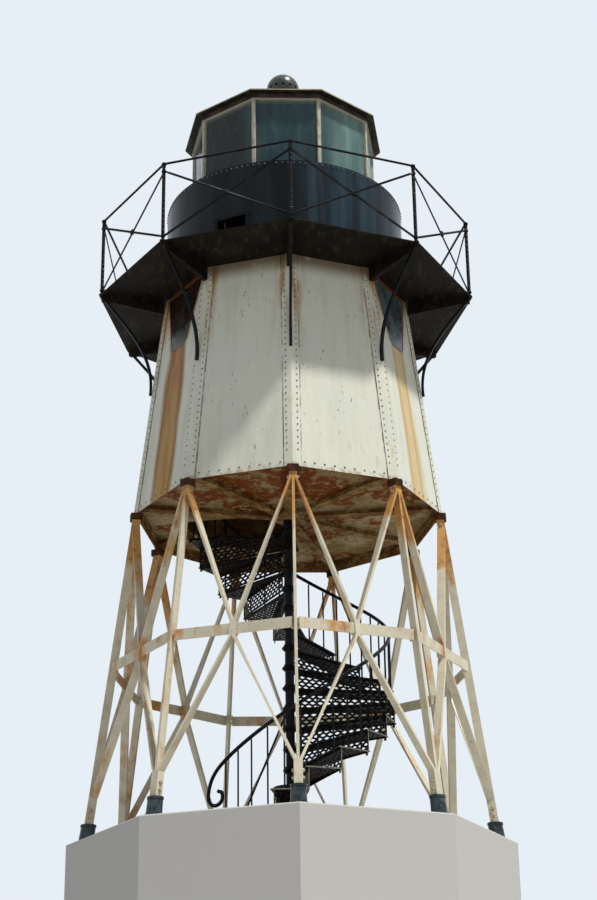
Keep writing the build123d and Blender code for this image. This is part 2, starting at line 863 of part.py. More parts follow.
with BuildPart() as tread:
    with BuildSketch(Plane.XY.offset(-tread_thickness)):
        Circle(hub_radius)
        with BuildLine():
            Polyline((0, 0), sector_point(tread_radius, 0), sector_point(tread_radius, tread_sweep), close=True)
        make_face()
    extrude(amount=tread_thickness)
    with BuildSketch(Plane.XZ):
        with BuildLine():
            Polyline((column_radius, -hub_height / 2), (hub_radius, 0), (column_radius, hub_height / 2),
                     (0, hub_height / 2), (0, -hub_height / 2), close=True)
        make_face()
    revolve(axis=Axis.Z)
    riser_depth = rise - contact_gap
    with BuildSketch(Plane.XY.offset(-riser_depth)):
        with Locations((hub_radius, riser_setback + riser_thickness / 2)):
            Rectangle(tread_radius - hub_radius - riser_end_inset, riser_thickness,
                      align=(Align.MIN, Align.CENTER))
    extrude(amount=riser_depth - tread_thickness)
    web_angle = tread_sweep - web_set_in_angle
    rear = Plane(origin=(0, 0, 0), x_dir=(*sector_point(1, web_angle), 0),
                 z_dir=(*sector_point(1, web_angle - 90), 0))
    with BuildSketch(rear):
        with BuildLine():
            web_end = tread_radius - web_end_inset
            Polyline((column_radius, -web_root_depth), (column_radius, -tread_thickness),
                     (web_end, -tread_thickness), (web_end, -web_outer_depth))
            web_middle = (tread_radius * web_bow_share, -web_outer_depth - web_bow)
            ThreePointArc((web_end, -web_outer_depth), web_middle,
                          (column_radius, -web_root_depth))
        make_face()
    extrude(amount=riser_thickness / 2, both=True)
    with Locations((0, 0, 0)):
        Cylinder(collar_bore, 3 * rise, mode=Mode.SUBTRACT)

# The low steps stand beside the pedestal and have no collar
low_step_count = ceil((pedestal_height - first_tread_level) / rise)
low_steps_top = first_tread_level + low_step_count * rise
with BuildPart() as stair_treads:
    for steps, cut_height in ((range(low_step_count), low_steps_top),
                              (range(low_step_count, tread_count), pedestal_height + contact_gap)):
        for step in steps:
            azimuth = first_tread_azimuth + step * tread_angle
            with Locations(Location((0, 0, first_tread_level + step * rise), (0, 0, azimuth + front_angle))):
                add(tread.part)
        with BuildSketch(Plane.XY):
            Circle(pedestal_base_radius + contact_gap)
        extrude(amount=cut_height, mode=Mode.SUBTRACT)
    split(bisect_by=Plane.XY, keep=Keep.TOP)
stair_treads.part.label = "stair_treads"

# Handrail: a round bar on a helix, ending at the foot in a scroll
handrail_end_azimuth = hatch_end + handrail_overrun_angle


def handrail_level(azimuth):
    return first_tread_level + handrail_height + (azimuth - first_tread_azimuth) * rise_per_degree


start_level = handrail_level(handrail_start_azimuth)
start_plane = polar_plane(handrail_radius, handrail_start_azimuth, start_level)
turned = handrail_end_azimuth - handrail_start_azimuth
helix = Helix(pitch=360 * rise_per_degree, height=turned * rise_per_degree, radius=handrail_radius)
helix = Location((0, 0, start_level), (0, 0, handrail_start_azimuth + front_angle)) * helix
rail_rise = rise_per_degree / radians(1)
start_tangent = (start_plane.y_dir * handrail_radius + Vector(0, 0, rail_rise)).normalized()
scroll_plane = Plane(origin=start_plane.origin, x_dir=-start_plane.y_dir, z_dir=-start_plane.x_dir)


def scroll_point(share):
    """Point of the scroll's spiral in its own plane, from the rail's foot at share 0 to its end at 1."""
    angle = radians(scroll_start_angle - share * scroll_turn)
    radius = scroll_start_radius + share ** 2 * (scroll_end_radius - scroll_start_radius)
    return (radius * cos(angle) + scroll_reach, radius * sin(angle) - scroll_drop)


half_side = 180 / round_bar_sides
with BuildPart() as stair_handrail:
    with BuildSketch(Plane(origin=start_plane.origin, x_dir=start_plane.x_dir, z_dir=start_tangent)):
        RegularPolygon(handrail_bar_radius, round_bar_sides, rotation=half_side)
    sweep(path=helix, is_frenet=True)
    with BuildLine():
        curl = [(0, 0)] + [scroll_point(step / scroll_steps) for step in range(scroll_steps + 1)]
        end_angle = radians(scroll_start_angle - scroll_turn)
        curl_end = scroll_plane.x_dir * sin(end_angle) - scroll_plane.y_dir * cos(end_angle)
        Spline([scroll_plane.from_local_coords(point) for point in curl],
               tangents=(-start_tangent, curl_end))
    with BuildSketch(Plane(origin=start_plane.origin, x_dir=start_plane.x_dir, z_dir=-start_tangent)):
        RegularPolygon(handrail_bar_radius, round_bar_sides, rotation=half_side)
    sweep()
stair_handrail.part.label = "stair_handrail"

# Balusters, two to a tread, with the lowest two standing on the ground
baluster_step = tread_angle / 2
first_baluster_azimuth = first_tread_azimuth + baluster_set_in_angle
rail_pitch = atan2(rail_rise, handrail_radius)
rail_flat = handrail_bar_radius * cos(radians(half_side))
rail_underside = rail_flat / cos(rail_pitch) + baluster_radius * tan(rail_pitch) + contact_gap
with BuildPart() as stair_balusters:
    for index in range(-ground_baluster_count, 2 * tread_count + 1):
        azimuth = first_baluster_azimuth + index * (ground_baluster_angle if index < 0 else baluster_step)
        foot = 0 if index < 0 else first_tread_level + (index // 2) * rise
        with BuildSketch(polar_plane(handrail_radius, azimuth, foot)):
            RegularPolygon(baluster_radius, round_bar_sides)
        extrude(amount=handrail_level(azimuth) - rail_underside - foot)
stair_balusters.part.label = "stair_balusters"

# Raking stay from the stair column to the ground
stay_head_level = first_tread_level + stay_step * rise + hub_height / 2 + stay_head_clearance
with BuildPart() as column_stay:
    with BuildSketch(Plane.XY):
        with Locations((stay_foot_x, 0)):
            Circle(stay_radius)
    with BuildSketch(Plane.XY.offset(stay_head_level)):
        Circle(stay_radius)
    loft()
    with BuildSketch(Plane.XY):
        with Locations((stay_foot_x, 0)):
            Circle(3 * stay_radius)
    extrude(amount=stay_radius)
    Cylinder(column_radius + contact_gap, 3 * stay_head_level, mode=Mode.SUBTRACT)
column_stay.part.label = "column_stay"

os.makedirs("parts", exist_ok=True)
pieces = [leg_sockets, leg_bars, lower_brace_bars, upper_brace_bars, ring_band_bars, corner_shoes,
          floor_plates, floor_beams, floor_hub, floor_rim_bars, plain_walls, window_walls, window_panes,
          corner_straps, gallery_deck, lantern_floor, deck_beams, deck_brackets, rail_posts, top_rails,
          outer_rail_braces, inner_rail_braces, drum_plates, doorway_plate, door_frame, drum_ledge,
          lantern_curb, lantern_mullions, lantern_panes, lantern_head, eave, roof, vent_neck, vent_ball,
          stair_pedestal, stair_column, stair_treads, stair_handrail, stair_balusters, column_stay]
for piece in pieces:
    export_step(piece.part, f"parts/{piece.part.label}.step")
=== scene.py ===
import random
from math import cos, hypot, pi, radians, sin, sqrt

import bmesh
import bpy
from mathutils import Matrix, Vector


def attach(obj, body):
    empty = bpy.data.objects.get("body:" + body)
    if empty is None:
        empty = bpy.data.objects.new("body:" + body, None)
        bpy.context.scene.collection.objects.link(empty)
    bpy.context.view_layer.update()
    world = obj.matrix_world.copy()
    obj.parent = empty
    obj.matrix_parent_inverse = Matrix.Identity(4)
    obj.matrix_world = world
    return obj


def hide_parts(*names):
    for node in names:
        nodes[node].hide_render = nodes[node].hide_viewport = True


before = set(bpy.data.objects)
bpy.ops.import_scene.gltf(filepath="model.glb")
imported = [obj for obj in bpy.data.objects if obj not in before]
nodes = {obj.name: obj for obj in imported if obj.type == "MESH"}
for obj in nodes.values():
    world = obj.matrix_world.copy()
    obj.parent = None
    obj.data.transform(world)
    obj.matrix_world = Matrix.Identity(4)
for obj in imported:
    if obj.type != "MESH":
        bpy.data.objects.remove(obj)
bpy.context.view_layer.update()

dice = random.Random(9)


# Sizes, in metres, read from the frame to a tenth of a millimetre where a node gives them


def node_points(name):
    return [nodes[name].matrix_world @ vertex.co for vertex in nodes[name].data.vertices]


def foot(name):
    return round(min(point.z for point in node_points(name)), 4)


def head(name):
    return round(max(point.z for point in node_points(name)), 4)


def reach(name):
    """The greatest distance of a node from the tower's axis."""
    return round(max(hypot(point.x, point.y) for point in node_points(name)), 4)


# The tower has nine sides; HALF is half a bay, and FLAT the distance of a side over that of a corner
SIDES = 9
BAY = 360 / SIDES
HALF = radians(BAY / 2)
FLAT = cos(HALF)

# Skeleton
LEG_FOOT_R = 1.848
LEG_HEAD_R = 1.455
BAND = round((foot("ring_band_bars") + head("ring_band_bars")) / 2, 4)

# Watch room
FLOOR_TOP = head("floor_plates")
WALL_FOOT = foot("plain_walls")
WALL_HEAD = head("plain_walls")
WALL_FOOT_R = 1.481
WALL_HEAD_R = 1.211
WINDOW_FOOT = 4.735
WINDOW_HALF = 0.1325
WINDOW_SPLAY = 0.3086
STRAP_HALF = 0.079

# Gallery, drum and lantern
DECK_TOP = head("gallery_deck")
RAIL_R = 1.853
RAIL_TOP = head("top_rails")
RAIL_FOOT = foot("top_rails")
DRUM_R = reach("drum_plates")
DRUM_TOP = head("drum_plates")
GLASS_FOOT = head("lantern_curb")
GLASS_HEAD = foot("lantern_head")

# Stair
TREADS = 16
TREAD_ANGLE = 18
TREAD_SWEEP = radians(TREAD_ANGLE + 2)
FIRST_TREAD = 0.158
FIRST_AZIMUTH = -30.4
RISE = (FLOOR_TOP - FIRST_TREAD) / TREADS
TREAD_R = reach("stair_treads")
TREAD_PLATE = 0.012
TREAD_FOOTING = 0.001
TREAD_GAP = 0.012
RISER_PLATE = 0.008
RISER_SETBACK = 0.026
RISER_END = 0.968
LOW_STEPS = 3
HUB_R = 0.070
CLEARANCE = 0.0003
COLUMN_R = reach("stair_column") + CLEARANCE
BESIDE_PEDESTAL = reach("stair_pedestal") + CLEARANCE + TREAD_GAP
HOLE_PITCH = 0.072
HOLE_ROW = 0.0315
HOLE_LENGTH = 0.054
HOLE_WIDTH = 0.026


def wall_radius(level):
    share = (level - WALL_FOOT) / (WALL_HEAD - WALL_FOOT)
    return WALL_FOOT_R + (WALL_HEAD_R - WALL_FOOT_R) * share


def leg_radius(level):
    return LEG_FOOT_R + (LEG_HEAD_R - LEG_FOOT_R) * level / WALL_FOOT


# Places round the tower: azimuths in degrees, from the front towards the right

UP = Vector((0, 0, 1))


def outwards(azimuth):
    turn = radians(azimuth - 90)
    return Vector((cos(turn), sin(turn), 0))


def sideways(azimuth):
    turn = radians(azimuth - 90)
    return Vector((-sin(turn), cos(turn), 0))


def at(azimuth, radius, level, aside=0.0):
    """The point at an azimuth, radius and level, moved aside along the ring."""
    place = outwards(azimuth) * radius + sideways(azimuth) * aside
    place.z = level
    return place


# Colours, as linear red, green and blue

RUST_DARK = (0.085, 0.026, 0.008)
RUST = (0.33, 0.115, 0.022)

CREAM = (0.76, 0.77, 0.66)
CREAM_WORN = (0.58, 0.58, 0.45)
CREAM_CLOUDED = (0.62, 0.66, 0.60)
TRAIL_TAN = (0.56, 0.45, 0.22)
FLECK_BROWN = (0.13, 0.10, 0.06)
SEAM_ORANGE = (0.40, 0.19, 0.035)
# Brown grime with painted shade, for the walls' top under the deck
GRIME_AND_SHADE_BROWN = (0.15, 0.10, 0.045)
INSIDE_BROWN = (0.21, 0.12, 0.035)
INSIDE_DARK = (0.10, 0.040, 0.012)

HALO_ORANGE = (0.34, 0.14, 0.025)
STREAK_LOW = (0.40, 0.20, 0.025)
STREAK_HIGH = (0.33, 0.09, 0.004)
STREAK_PALE = (0.52, 0.33, 0.07)
# A paler, yellower copy of the streak, as painted sunlight on its sunny side
STREAK_PAINTED_SUNLIT = (0.68, 0.47, 0.15)
STREAK_EDGE = (0.26, 0.095, 0.010)
# A paler copy of the streak's edge, as painted sunlight on its sunny side
STREAK_EDGE_PAINTED_SUNLIT = (0.50, 0.27, 0.06)

BAR_CREAM = (0.72, 0.67, 0.52)
BAR_WORN = (0.54, 0.48, 0.34)
BAR_ORANGE = (0.60, 0.28, 0.040)
BAR_RUST = (0.30, 0.10, 0.016)
SHOE_BLACK = (0.022, 0.010, 0.006)
SHOE_RUST = (0.10, 0.034, 0.010)
SOCKET_BLUE = (0.010, 0.018, 0.024)
SOCKET_WORN = (0.050, 0.074, 0.080)
SOCKET_SPECK = (0.14, 0.12, 0.09)

OLIVE = (0.34, 0.28, 0.15)
OLIVE_WORN = (0.19, 0.135, 0.055)
# Darker olive, as painted shade towards the front
OLIVE_PAINTED_SHADE = (0.18, 0.12, 0.04)
FLAKE_RED = (0.13, 0.030, 0.004)
FLAKE_EMBER = (0.27, 0.080, 0.008)
FLAKE_SPECK = (0.17, 0.045, 0.010)
BEAM_BROWN = (0.27, 0.18, 0.06)
BEAM_WORN = (0.12, 0.052, 0.015)

TAR = (0.006, 0.0045, 0.003)
TAR_SCUFFED = (0.015, 0.011, 0.007)
TAR_STREAK = (0.040, 0.029, 0.018)
TAR_SPECK = (0.16, 0.07, 0.02)
BLACK = (0.0035, 0.004, 0.005)
BLACK_WORN = (0.012, 0.014, 0.017)
BLACK_SPECK = (0.06, 0.024, 0.009)
DRUM_BLACK = (0.0035, 0.0045, 0.0055)
DRUM_WORN = (0.009, 0.014, 0.018)
# Blues for a painted sheen of reflected sky on the drum's sunny side
DRUM_PAINTED_SHEEN_DARK = (0.008, 0.016, 0.024)
DRUM_PAINTED_SHEEN = (0.030, 0.058, 0.080)
TREAD_BLACK = (0.004, 0.0035, 0.0035)
TREAD_WORN = (0.016, 0.013, 0.012)
TREAD_BROWN = (0.050, 0.026, 0.012)
# Light grey for a painted highlight on the treads' outer edges
TREAD_PAINTED_HIGHLIGHT = (0.30, 0.29, 0.25)

MULLION_CREAM = (0.50, 0.50, 0.40)
MULLION_WORN = (0.26, 0.25, 0.18)
BEAM_OVER_GLASS = (0.016, 0.012, 0.007)
BEAM_OVER_GLASS_WORN = (0.060, 0.042, 0.024)
CREAM_LINE = (0.46, 0.44, 0.34)
# Dark glass, as painted shade to the left
GLASS_PAINTED_SHADE = (0.006, 0.010, 0.009)
GLASS_PAINTED_SHADE_FOGGED = (0.020, 0.034, 0.032)
GLASS_TEAL = (0.014, 0.042, 0.050)
GLASS_TEAL_FOGGED = (0.040, 0.085, 0.090)
# Pale glass, as a painted reflection towards the sun
GLASS_PAINTED_SHEEN = (0.090, 0.180, 0.170)
GLASS_PAINTED_SHEEN_FOGGED = (0.200, 0.320, 0.290)
SALT = (0.30, 0.38, 0.36)
GLASS_BORDER = (0.26, 0.30, 0.25)
PANE_BROWN = (0.020, 0.011, 0.007)
PANE_GREY = (0.036, 0.036, 0.034)
# Blue-grey for a painted reflection of the sky on the panes
PANE_PAINTED_SKY_REFLECTION = (0.045, 0.062, 0.070)
PANE_PAINTED_SKY_REFLECTION_FOGGED = (0.085, 0.110, 0.120)

TAN = (0.44, 0.38, 0.27)
TAN_WORN = (0.26, 0.20, 0.12)
TAN_SPOT = (0.12, 0.06, 0.02)
SOFFIT = (0.007, 0.006, 0.003)
SOFFIT_SCUFFED = (0.030, 0.022, 0.012)
BALL_GREY = (0.026, 0.030, 0.025)
BALL_WORN = (0.070, 0.074, 0.060)
BALL_SPECK = (0.13, 0.09, 0.05)

RIVET_BROWN = (0.11, 0.085, 0.055)
RIVET_CREAM = (0.34, 0.30, 0.22)
RIVET_BLACK = (0.012, 0.016, 0.020)
# Grey for painted highlights on the drum's rivets
RIVET_PAINTED_HIGHLIGHT = (0.10, 0.12, 0.13)
NUT_CREAM = (0.56, 0.50, 0.36)
NUT_RUST = (0.32, 0.15, 0.05)

PODIUM_WHITE = (0.55, 0.54, 0.52)
FLOOR_WHITE = (0.62, 0.62, 0.61)
SUN_WHITE = (1.0, 0.975, 0.93)
SKY_WHITE = (0.90, 0.95, 1.0)
GROUND_WHITE = (1.0, 0.97, 0.92)
FILL_BLUE = (0.80, 0.88, 1.0, 1)
BACKDROP_PALE = (0.80, 0.86, 0.92, 1)


# Where weathering and painted light and shade lie, from none of it to all of it: levels and distances in
# metres, azimuths in radians

SEAM_RUST_LEVELS = (4.3, 5.3)
SEAM_RUST_SIDES = (0.19, 0.05)
GRIME_AND_SHADE_LEVELS = (WALL_HEAD - 0.223, WALL_HEAD - 0.023)
FOOT_RUST_LEVELS = (WALL_FOOT + 0.055, WALL_FOOT + 0.008)
HALO_LEVELS = (WINDOW_FOOT - 0.01, WINDOW_FOOT + 0.02)
STREAK_LEVELS = (WINDOW_FOOT + 0.03, WINDOW_FOOT - 0.03)
STREAK_SPREAD_LEVELS = (WINDOW_FOOT, WINDOW_FOOT - 0.5)
STREAK_DARK_LEVELS = (3.4, 4.72)
SILL = WINDOW_FOOT - 0.012
LEG_RUST_LEVELS = (2.15, 3.10)
UNDERSIDE_FRONT = (0.5, -1.1)
TREAD_EDGE_HIGHLIGHT = (0.86, 0.92)
DRUM_SHEEN_FROM = (-0.10, 0.30)
DRUM_SHEEN_TO = (2.6, 1.6)
GLASS_TEAL_FROM = (-0.62, -0.28)
GLASS_SHEEN_FROM = (0.25, 0.75)
GLASS_BORDER_LOW = (GLASS_FOOT + 0.12, GLASS_FOOT)
GLASS_BORDER_HIGH = (GLASS_HEAD - 0.05, GLASS_HEAD)
CREAM_LINE_LEVELS = (GLASS_HEAD + 0.016, GLASS_HEAD + 0.010)
PANE_GREY_LEVELS = (5.1, 4.8)


# Materials


class Shader:
    """A node material under construction; a value is a number, a colour or a node's output."""

    def __init__(self, name):
        self.material = bpy.data.materials.new(name)
        self.material.use_nodes = True
        self.tree = self.material.node_tree
        self.surface = self.tree.nodes["Principled BSDF"]
        self.place = self.node("ShaderNodeTexCoord").outputs["Object"]

    def node(self, kind, **values):
        made = self.tree.nodes.new(kind)
        for key, value in values.items():
            setattr(made, key, value)
        return made

    def feed(self, socket, value):
        if isinstance(value, bpy.types.NodeSocket):
            self.tree.links.new(value, socket)
        else:
            socket.default_value = value

    def scaled(self, x, y, z):
        """The place on the object, scaled, so that a pattern on it is drawn out where the scale is small."""
        mapping = self.node("ShaderNodeMapping")
        mapping.inputs["Scale"].default_value = (x, y, z)
        self.feed(mapping.inputs["Vector"], self.place)
        return mapping.outputs["Vector"]

    def upright(self, scale):
        return self.scaled(1, 1, scale)

    def noise(self, scale, detail=4, rough=0.6, where=None):
        made = self.node("ShaderNodeTexNoise")
        made.inputs["Scale"].default_value = scale
        made.inputs["Detail"].default_value = detail
        made.inputs["Roughness"].default_value = rough
        self.feed(made.inputs["Vector"], where or self.place)
        return made.outputs["Fac"]

    def step(self, value, low, high):
        """A soft step from 0 to 1; it falls where low is the greater."""
        made = self.node("ShaderNodeMapRange", interpolation_type="SMOOTHSTEP")
        self.feed(made.inputs["Value"], value)
        made.inputs["From Min"].default_value = low
        made.inputs["From Max"].default_value = high
        return made.outputs["Result"]

    def patches(self, scale, low, high, detail=4, rough=0.6, where=None):
        return self.step(self.noise(scale, detail, rough, where), low, high)

    def maths(self, operation, *values):
        made = self.node("ShaderNodeMath", operation=operation)
        for socket, value in zip(made.inputs, values):
            self.feed(socket, value)
        return made.outputs["Value"]

    def add(self, *values):
        result = values[0]
        for value in values[1:]:
            result = self.maths("ADD", result, value)
        return result

    def times(self, *values):
        result = values[0]
        for value in values[1:]:
            result = self.maths("MULTIPLY", result, value)
        return result

    def away_from(self, value, middle):
        return self.maths("ABSOLUTE", self.maths("SUBTRACT", value, middle))

    def blend(self, share, first, second):
        made = self.node("ShaderNodeMix", data_type="RGBA")
        self.feed(made.inputs["Factor"], share)
        colours = [socket for socket in made.inputs if socket.type == "RGBA"]
        for socket, value in zip(colours, (first, second)):
            if isinstance(value, tuple):
                value = (*value, 1.0)
            self.feed(socket, value)
        return [socket for socket in made.outputs if socket.type == "RGBA"][0]

    def over(self, colour, coat, *shares):
        """Lays a coat over a colour, as thick as the product of its shares."""
        return self.blend(self.times(*shares), colour, coat)

    def parts(self, vector=None):
        made = self.node("ShaderNodeSeparateXYZ")
        self.feed(made.inputs["Vector"], vector or self.place)
        return made.outputs["X"], made.outputs["Y"], made.outputs["Z"]

    def level(self):
        return self.parts()[2]

    def facing(self):
        return self.parts(self.node("ShaderNodeTexCoord").outputs["Normal"])

    def outward(self):
        """How far the surface faces away from the tower's axis, times its distance from it."""
        x, y, _ = self.parts()
        facing = self.facing()
        return self.add(self.times(facing[0], x), self.times(facing[1], y))

    def azimuth(self):
        x, y, _ = self.parts()
        return self.maths("ARCTAN2", x, self.times(y, -1.0))

    def radius(self):
        x, y, _ = self.parts()
        return self.maths("SQRT", self.add(self.times(x, x), self.times(y, y)))

    def bump(self, scale, strength, distance, detail=4, rough=0.6, where=None):
        made = self.node("ShaderNodeBump")
        made.inputs["Strength"].default_value = strength
        made.inputs["Distance"].default_value = distance
        self.feed(made.inputs["Height"], self.noise(scale, detail, rough, where))
        self.feed(self.surface.inputs["Normal"], made.outputs["Normal"])

    def dulled(self, smooth, wear, more):
        """Roughness: that of the smooth paint, and more where it is worn."""
        return self.maths("MULTIPLY_ADD", wear, more, smooth)

    def finish(self, colour, roughness, shine=0.5):
        self.feed(self.surface.inputs["Base Color"], colour)
        self.feed(self.surface.inputs["Roughness"], roughness)
        self.surface.inputs["Specular IOR Level"].default_value = shine
        return self.material


def wall_paint(name, streaked):
    """Cream paint on the watch room, rusted at its seams and, where streaked, at its windows, with painted
    shade under the deck.
    """
    made = Shader(name)
    azimuth = made.azimuth()
    radius = made.radius()
    weather = made.patches(9, 0.42, 0.72, 5, where=made.upright(0.06))
    colour = weathered_cream(made, weather)
    colour = seam_rust_and_shade(made, colour, azimuth, radius)
    colour = foot_rust(made, colour)
    if streaked:
        face = made.maths("WRAP", made.add(azimuth, -pi / 3), -pi / 3, pi / 3)
        across = made.maths("ABSOLUTE", made.times(radius, made.maths("SINE", face)))
        colour = window_rust(made, colour, across)
        colour = window_streak(made, colour, across)
    colour = wall_inside(made, colour)
    made.bump(5, 0.35, 0.012, 3, 0.5)
    return made.finish(colour, made.dulled(0.42, weather, 0.22), 0.2)


def weathered_cream(made, weather):
    """Fine upright weathering, soft clouds, and flecks with trails below them."""
    colour = made.over(CREAM, CREAM_WORN, weather, 0.45)
    cloud = made.patches(1.7, 0.35, 0.75, 3, 0.55)
    colour = made.over(colour, CREAM_CLOUDED, cloud, 0.25)
    field = made.patches(2.3, 0.44, 0.60, 3, 0.55)
    trail = made.patches(30, 0.64, 0.72, 2, 0.5, made.upright(0.10))
    colour = made.over(colour, TRAIL_TAN, trail, field, 0.40)
    fleck = made.patches(46, 0.68, 0.72, 2, 0.5, made.upright(0.28))
    return made.over(colour, FLECK_BROWN, fleck, field, 0.85)


def seam_rust_and_shade(made, colour, azimuth, radius):
    """Orange runs beside the upper seams, brown grime with painted shade under the deck, and dark rust lines
    with a painted shadow along the straps' edges.
    """
    z = made.level()
    corner = made.maths("WRAP", azimuth, -HALF, HALF)
    from_corner = made.maths("ABSOLUTE", made.times(radius, made.maths("SINE", corner)))
    near = made.step(from_corner, *SEAM_RUST_SIDES)
    high = made.step(z, *SEAM_RUST_LEVELS)
    run = made.patches(13, 0.40, 0.64, where=made.upright(0.05))
    colour = made.over(colour, SEAM_ORANGE, near, high, run)
    # Brown grime and painted shade under the deck, over the top of each wall
    under_deck = made.step(z, *GRIME_AND_SHADE_LEVELS)
    grime_and_shade = made.patches(6, 0.10, 0.44)
    colour = made.over(colour, GRIME_AND_SHADE_BROWN, under_deck, grime_and_shade, 0.9)
    # A dark rust line with a painted shadow of the strap's edge, where each strap meets the wall
    joint = made.step(made.away_from(from_corner, STRAP_HALF), 0.007, 0.002)
    return made.over(colour, RUST_DARK, joint, made.patches(8, 0.40, 0.60), 0.8)


def foot_rust(made, colour):
    """Short drips along the walls' foot."""
    low = made.step(made.level(), *FOOT_RUST_LEVELS)
    return made.over(colour, RUST, low, made.patches(24, 0.44, 0.62), 0.55)


def window_rust(made, colour, across):
    """Orange rust beside each window, dark along its frame."""
    z = made.level()
    edge = made.maths("MULTIPLY_ADD", z, -WINDOW_SPLAY, WINDOW_FOOT * WINDOW_SPLAY - WINDOW_HALF)
    beside = made.add(across, edge)
    above = made.step(z, *HALO_LEVELS)
    halo = made.step(beside, 0.085, 0.0)
    colour = made.over(colour, HALO_ORANGE, halo, above, made.patches(10, 0.30, 0.55), 0.9)
    return made.over(colour, RUST_DARK, made.step(beside, 0.020, 0.006), above, 0.9)


def window_streak(made, colour, across):
    """A long run of rust below each window, wider on the shaded side; painted shade makes it darker there,
    and painted sunlight makes it paler and yellower on the sunny side.
    """
    x, _, z = made.parts()
    below = made.step(z, *STREAK_LEVELS)
    shaded = made.step(x, 0.4, -0.4)
    # Painted shade: the stain is laid on more thickly on the shaded side
    strength = made.times(below, made.maths("MULTIPLY_ADD", shaded, 0.25, 0.7))
    ragged = made.times(made.noise(7, 3, 0.5, made.upright(0.04)), 0.16)
    spread = made.times(made.step(z, *STREAK_SPREAD_LEVELS), shaded, -0.045)
    from_middle = made.add(across, ragged, spread)
    band = made.step(from_middle, 0.27, 0.16)
    border = made.times(made.step(from_middle, 0.13, 0.19), band)
    stain = made.blend(made.step(z, *STREAK_DARK_LEVELS), STREAK_LOW, STREAK_HIGH)
    stain = made.over(stain, STREAK_PALE, made.patches(16, 0.42, 0.58, where=made.upright(0.03)), 0.4)
    # Painted sunlight: a paler, yellower copy of the stain and its edging on the sunny side
    stain = made.blend(shaded, STREAK_PAINTED_SUNLIT, stain)
    edging = made.blend(shaded, STREAK_EDGE_PAINTED_SUNLIT, STREAK_EDGE)
    colour = made.over(colour, stain, band, strength)
    colour = made.over(colour, edging, border, strength, 0.9)
    sill = made.step(made.away_from(z, SILL), 0.022, 0.0)
    return made.over(colour, RUST_DARK, sill, band, 0.9)


def wall_inside(made, colour):
    """Bare brown plate on the inner faces and the undersides."""
    down = made.facing()[2]
    inside = made.maths("MAXIMUM", made.step(made.outward(), -0.05, -0.3), made.step(down, -0.5, -0.8))
    brown = made.blend(made.patches(11, 0.40, 0.62, 5, 0.65), INSIDE_BROWN, INSIDE_DARK)
    return made.blend(inside, colour, brown)


def skeleton_paint():
    """Cream paint on the legs, bars and band, with rust near the heads and the joints."""
    made = Shader("skeleton_paint")
    x, _, z = made.parts()
    wear = made.patches(7, 0.40, 0.70, 5)
    colour = made.over(BAR_CREAM, BAR_WORN, wear, 0.6)
    high = made.times(made.step(z, *LEG_RUST_LEVELS), 0.32)
    shaded = made.times(made.step(x, -0.7, -1.5), 0.08)
    joint = made.times(made.step(made.away_from(z, BAND), 0.16, 0.02), 0.06)
    field = made.noise(3.6, 5, 0.65, made.upright(0.35))
    patch = made.step(made.add(field, made.add(high, shaded, joint)), 0.58, 0.74)
    rust = made.blend(made.patches(13, 0.48, 0.66, 5, 0.65), BAR_ORANGE, BAR_RUST)
    colour = made.over(colour, rust, patch, 0.85)
    colour = made.over(colour, RUST_DARK, made.patches(60, 0.65, 0.69, 3), 0.7)
    made.bump(55, 0.30, 0.004, 3)
    return made.finish(colour, made.dulled(0.36, wear, 0.2), 0.22)


def rusty_iron():
    """Nearly black iron with brown rust, on the shoes of the corners."""
    made = Shader("rusty_iron")
    patch = made.patches(18, 0.38, 0.66, 5, 0.65)
    made.bump(70, 0.6, 0.004)
    return made.finish(made.blend(patch, SHOE_BLACK, SHOE_RUST), made.dulled(0.62, patch, 0.2), 0.12)


def socket_iron():
    """Blue-grey paint, worn and specked, on the cast sockets."""
    made = Shader("socket_iron")
    wear = made.patches(16, 0.40, 0.68, 5)
    colour = made.blend(wear, SOCKET_BLUE, SOCKET_WORN)
    colour = made.over(colour, SOCKET_SPECK, made.patches(60, 0.62, 0.68, 3), 0.5)
    made.bump(50, 0.35, 0.004)
    return made.finish(colour, made.dulled(0.24, wear, 0.22), 0.3)


def underside_paint():
    """Olive-cream paint under the floor, darkened towards the front with painted shade, with red-brown rust
    flaking through at the front.
    """
    made = Shader("underside_paint")
    _, y, _ = made.parts()
    wear = made.patches(3, 0.38, 0.66, 5)
    front = made.step(y, *UNDERSIDE_FRONT)
    colour = made.blend(wear, OLIVE, OLIVE_WORN)
    # Painted shade: the olive is darkened towards the front
    colour = made.over(colour, OLIVE_PAINTED_SHADE, front, 0.5)
    field = made.step(made.add(made.noise(2.4, 3), made.times(front, 0.15)), 0.52, 0.60)
    colour = made.over(colour, FLAKE_RED, field, made.patches(12, 0.43, 0.47, 6, 0.75))
    colour = made.over(colour, FLAKE_EMBER, field, made.patches(34, 0.54, 0.62), 0.6)
    colour = made.over(colour, FLAKE_SPECK, made.patches(24, 0.57, 0.62, 5, 0.65), 0.75)
    made.bump(26, 0.5, 0.006, 5, 0.65)
    return made.finish(colour, made.dulled(0.66, wear, 0.15), 0.08)


def beam_paint():
    """The floor's beams and rim, rusted brown along their edges."""
    made = Shader("beam_paint")
    wear = made.patches(6, 0.38, 0.62, 5)
    colour = made.blend(wear, BEAM_BROWN, BEAM_WORN)
    colour = made.over(colour, RUST_DARK, made.patches(22, 0.50, 0.58, 5, 0.7), 0.8)
    made.bump(26, 0.5, 0.006, 5, 0.65)
    return made.finish(colour, made.dulled(0.66, wear, 0.1), 0.08)


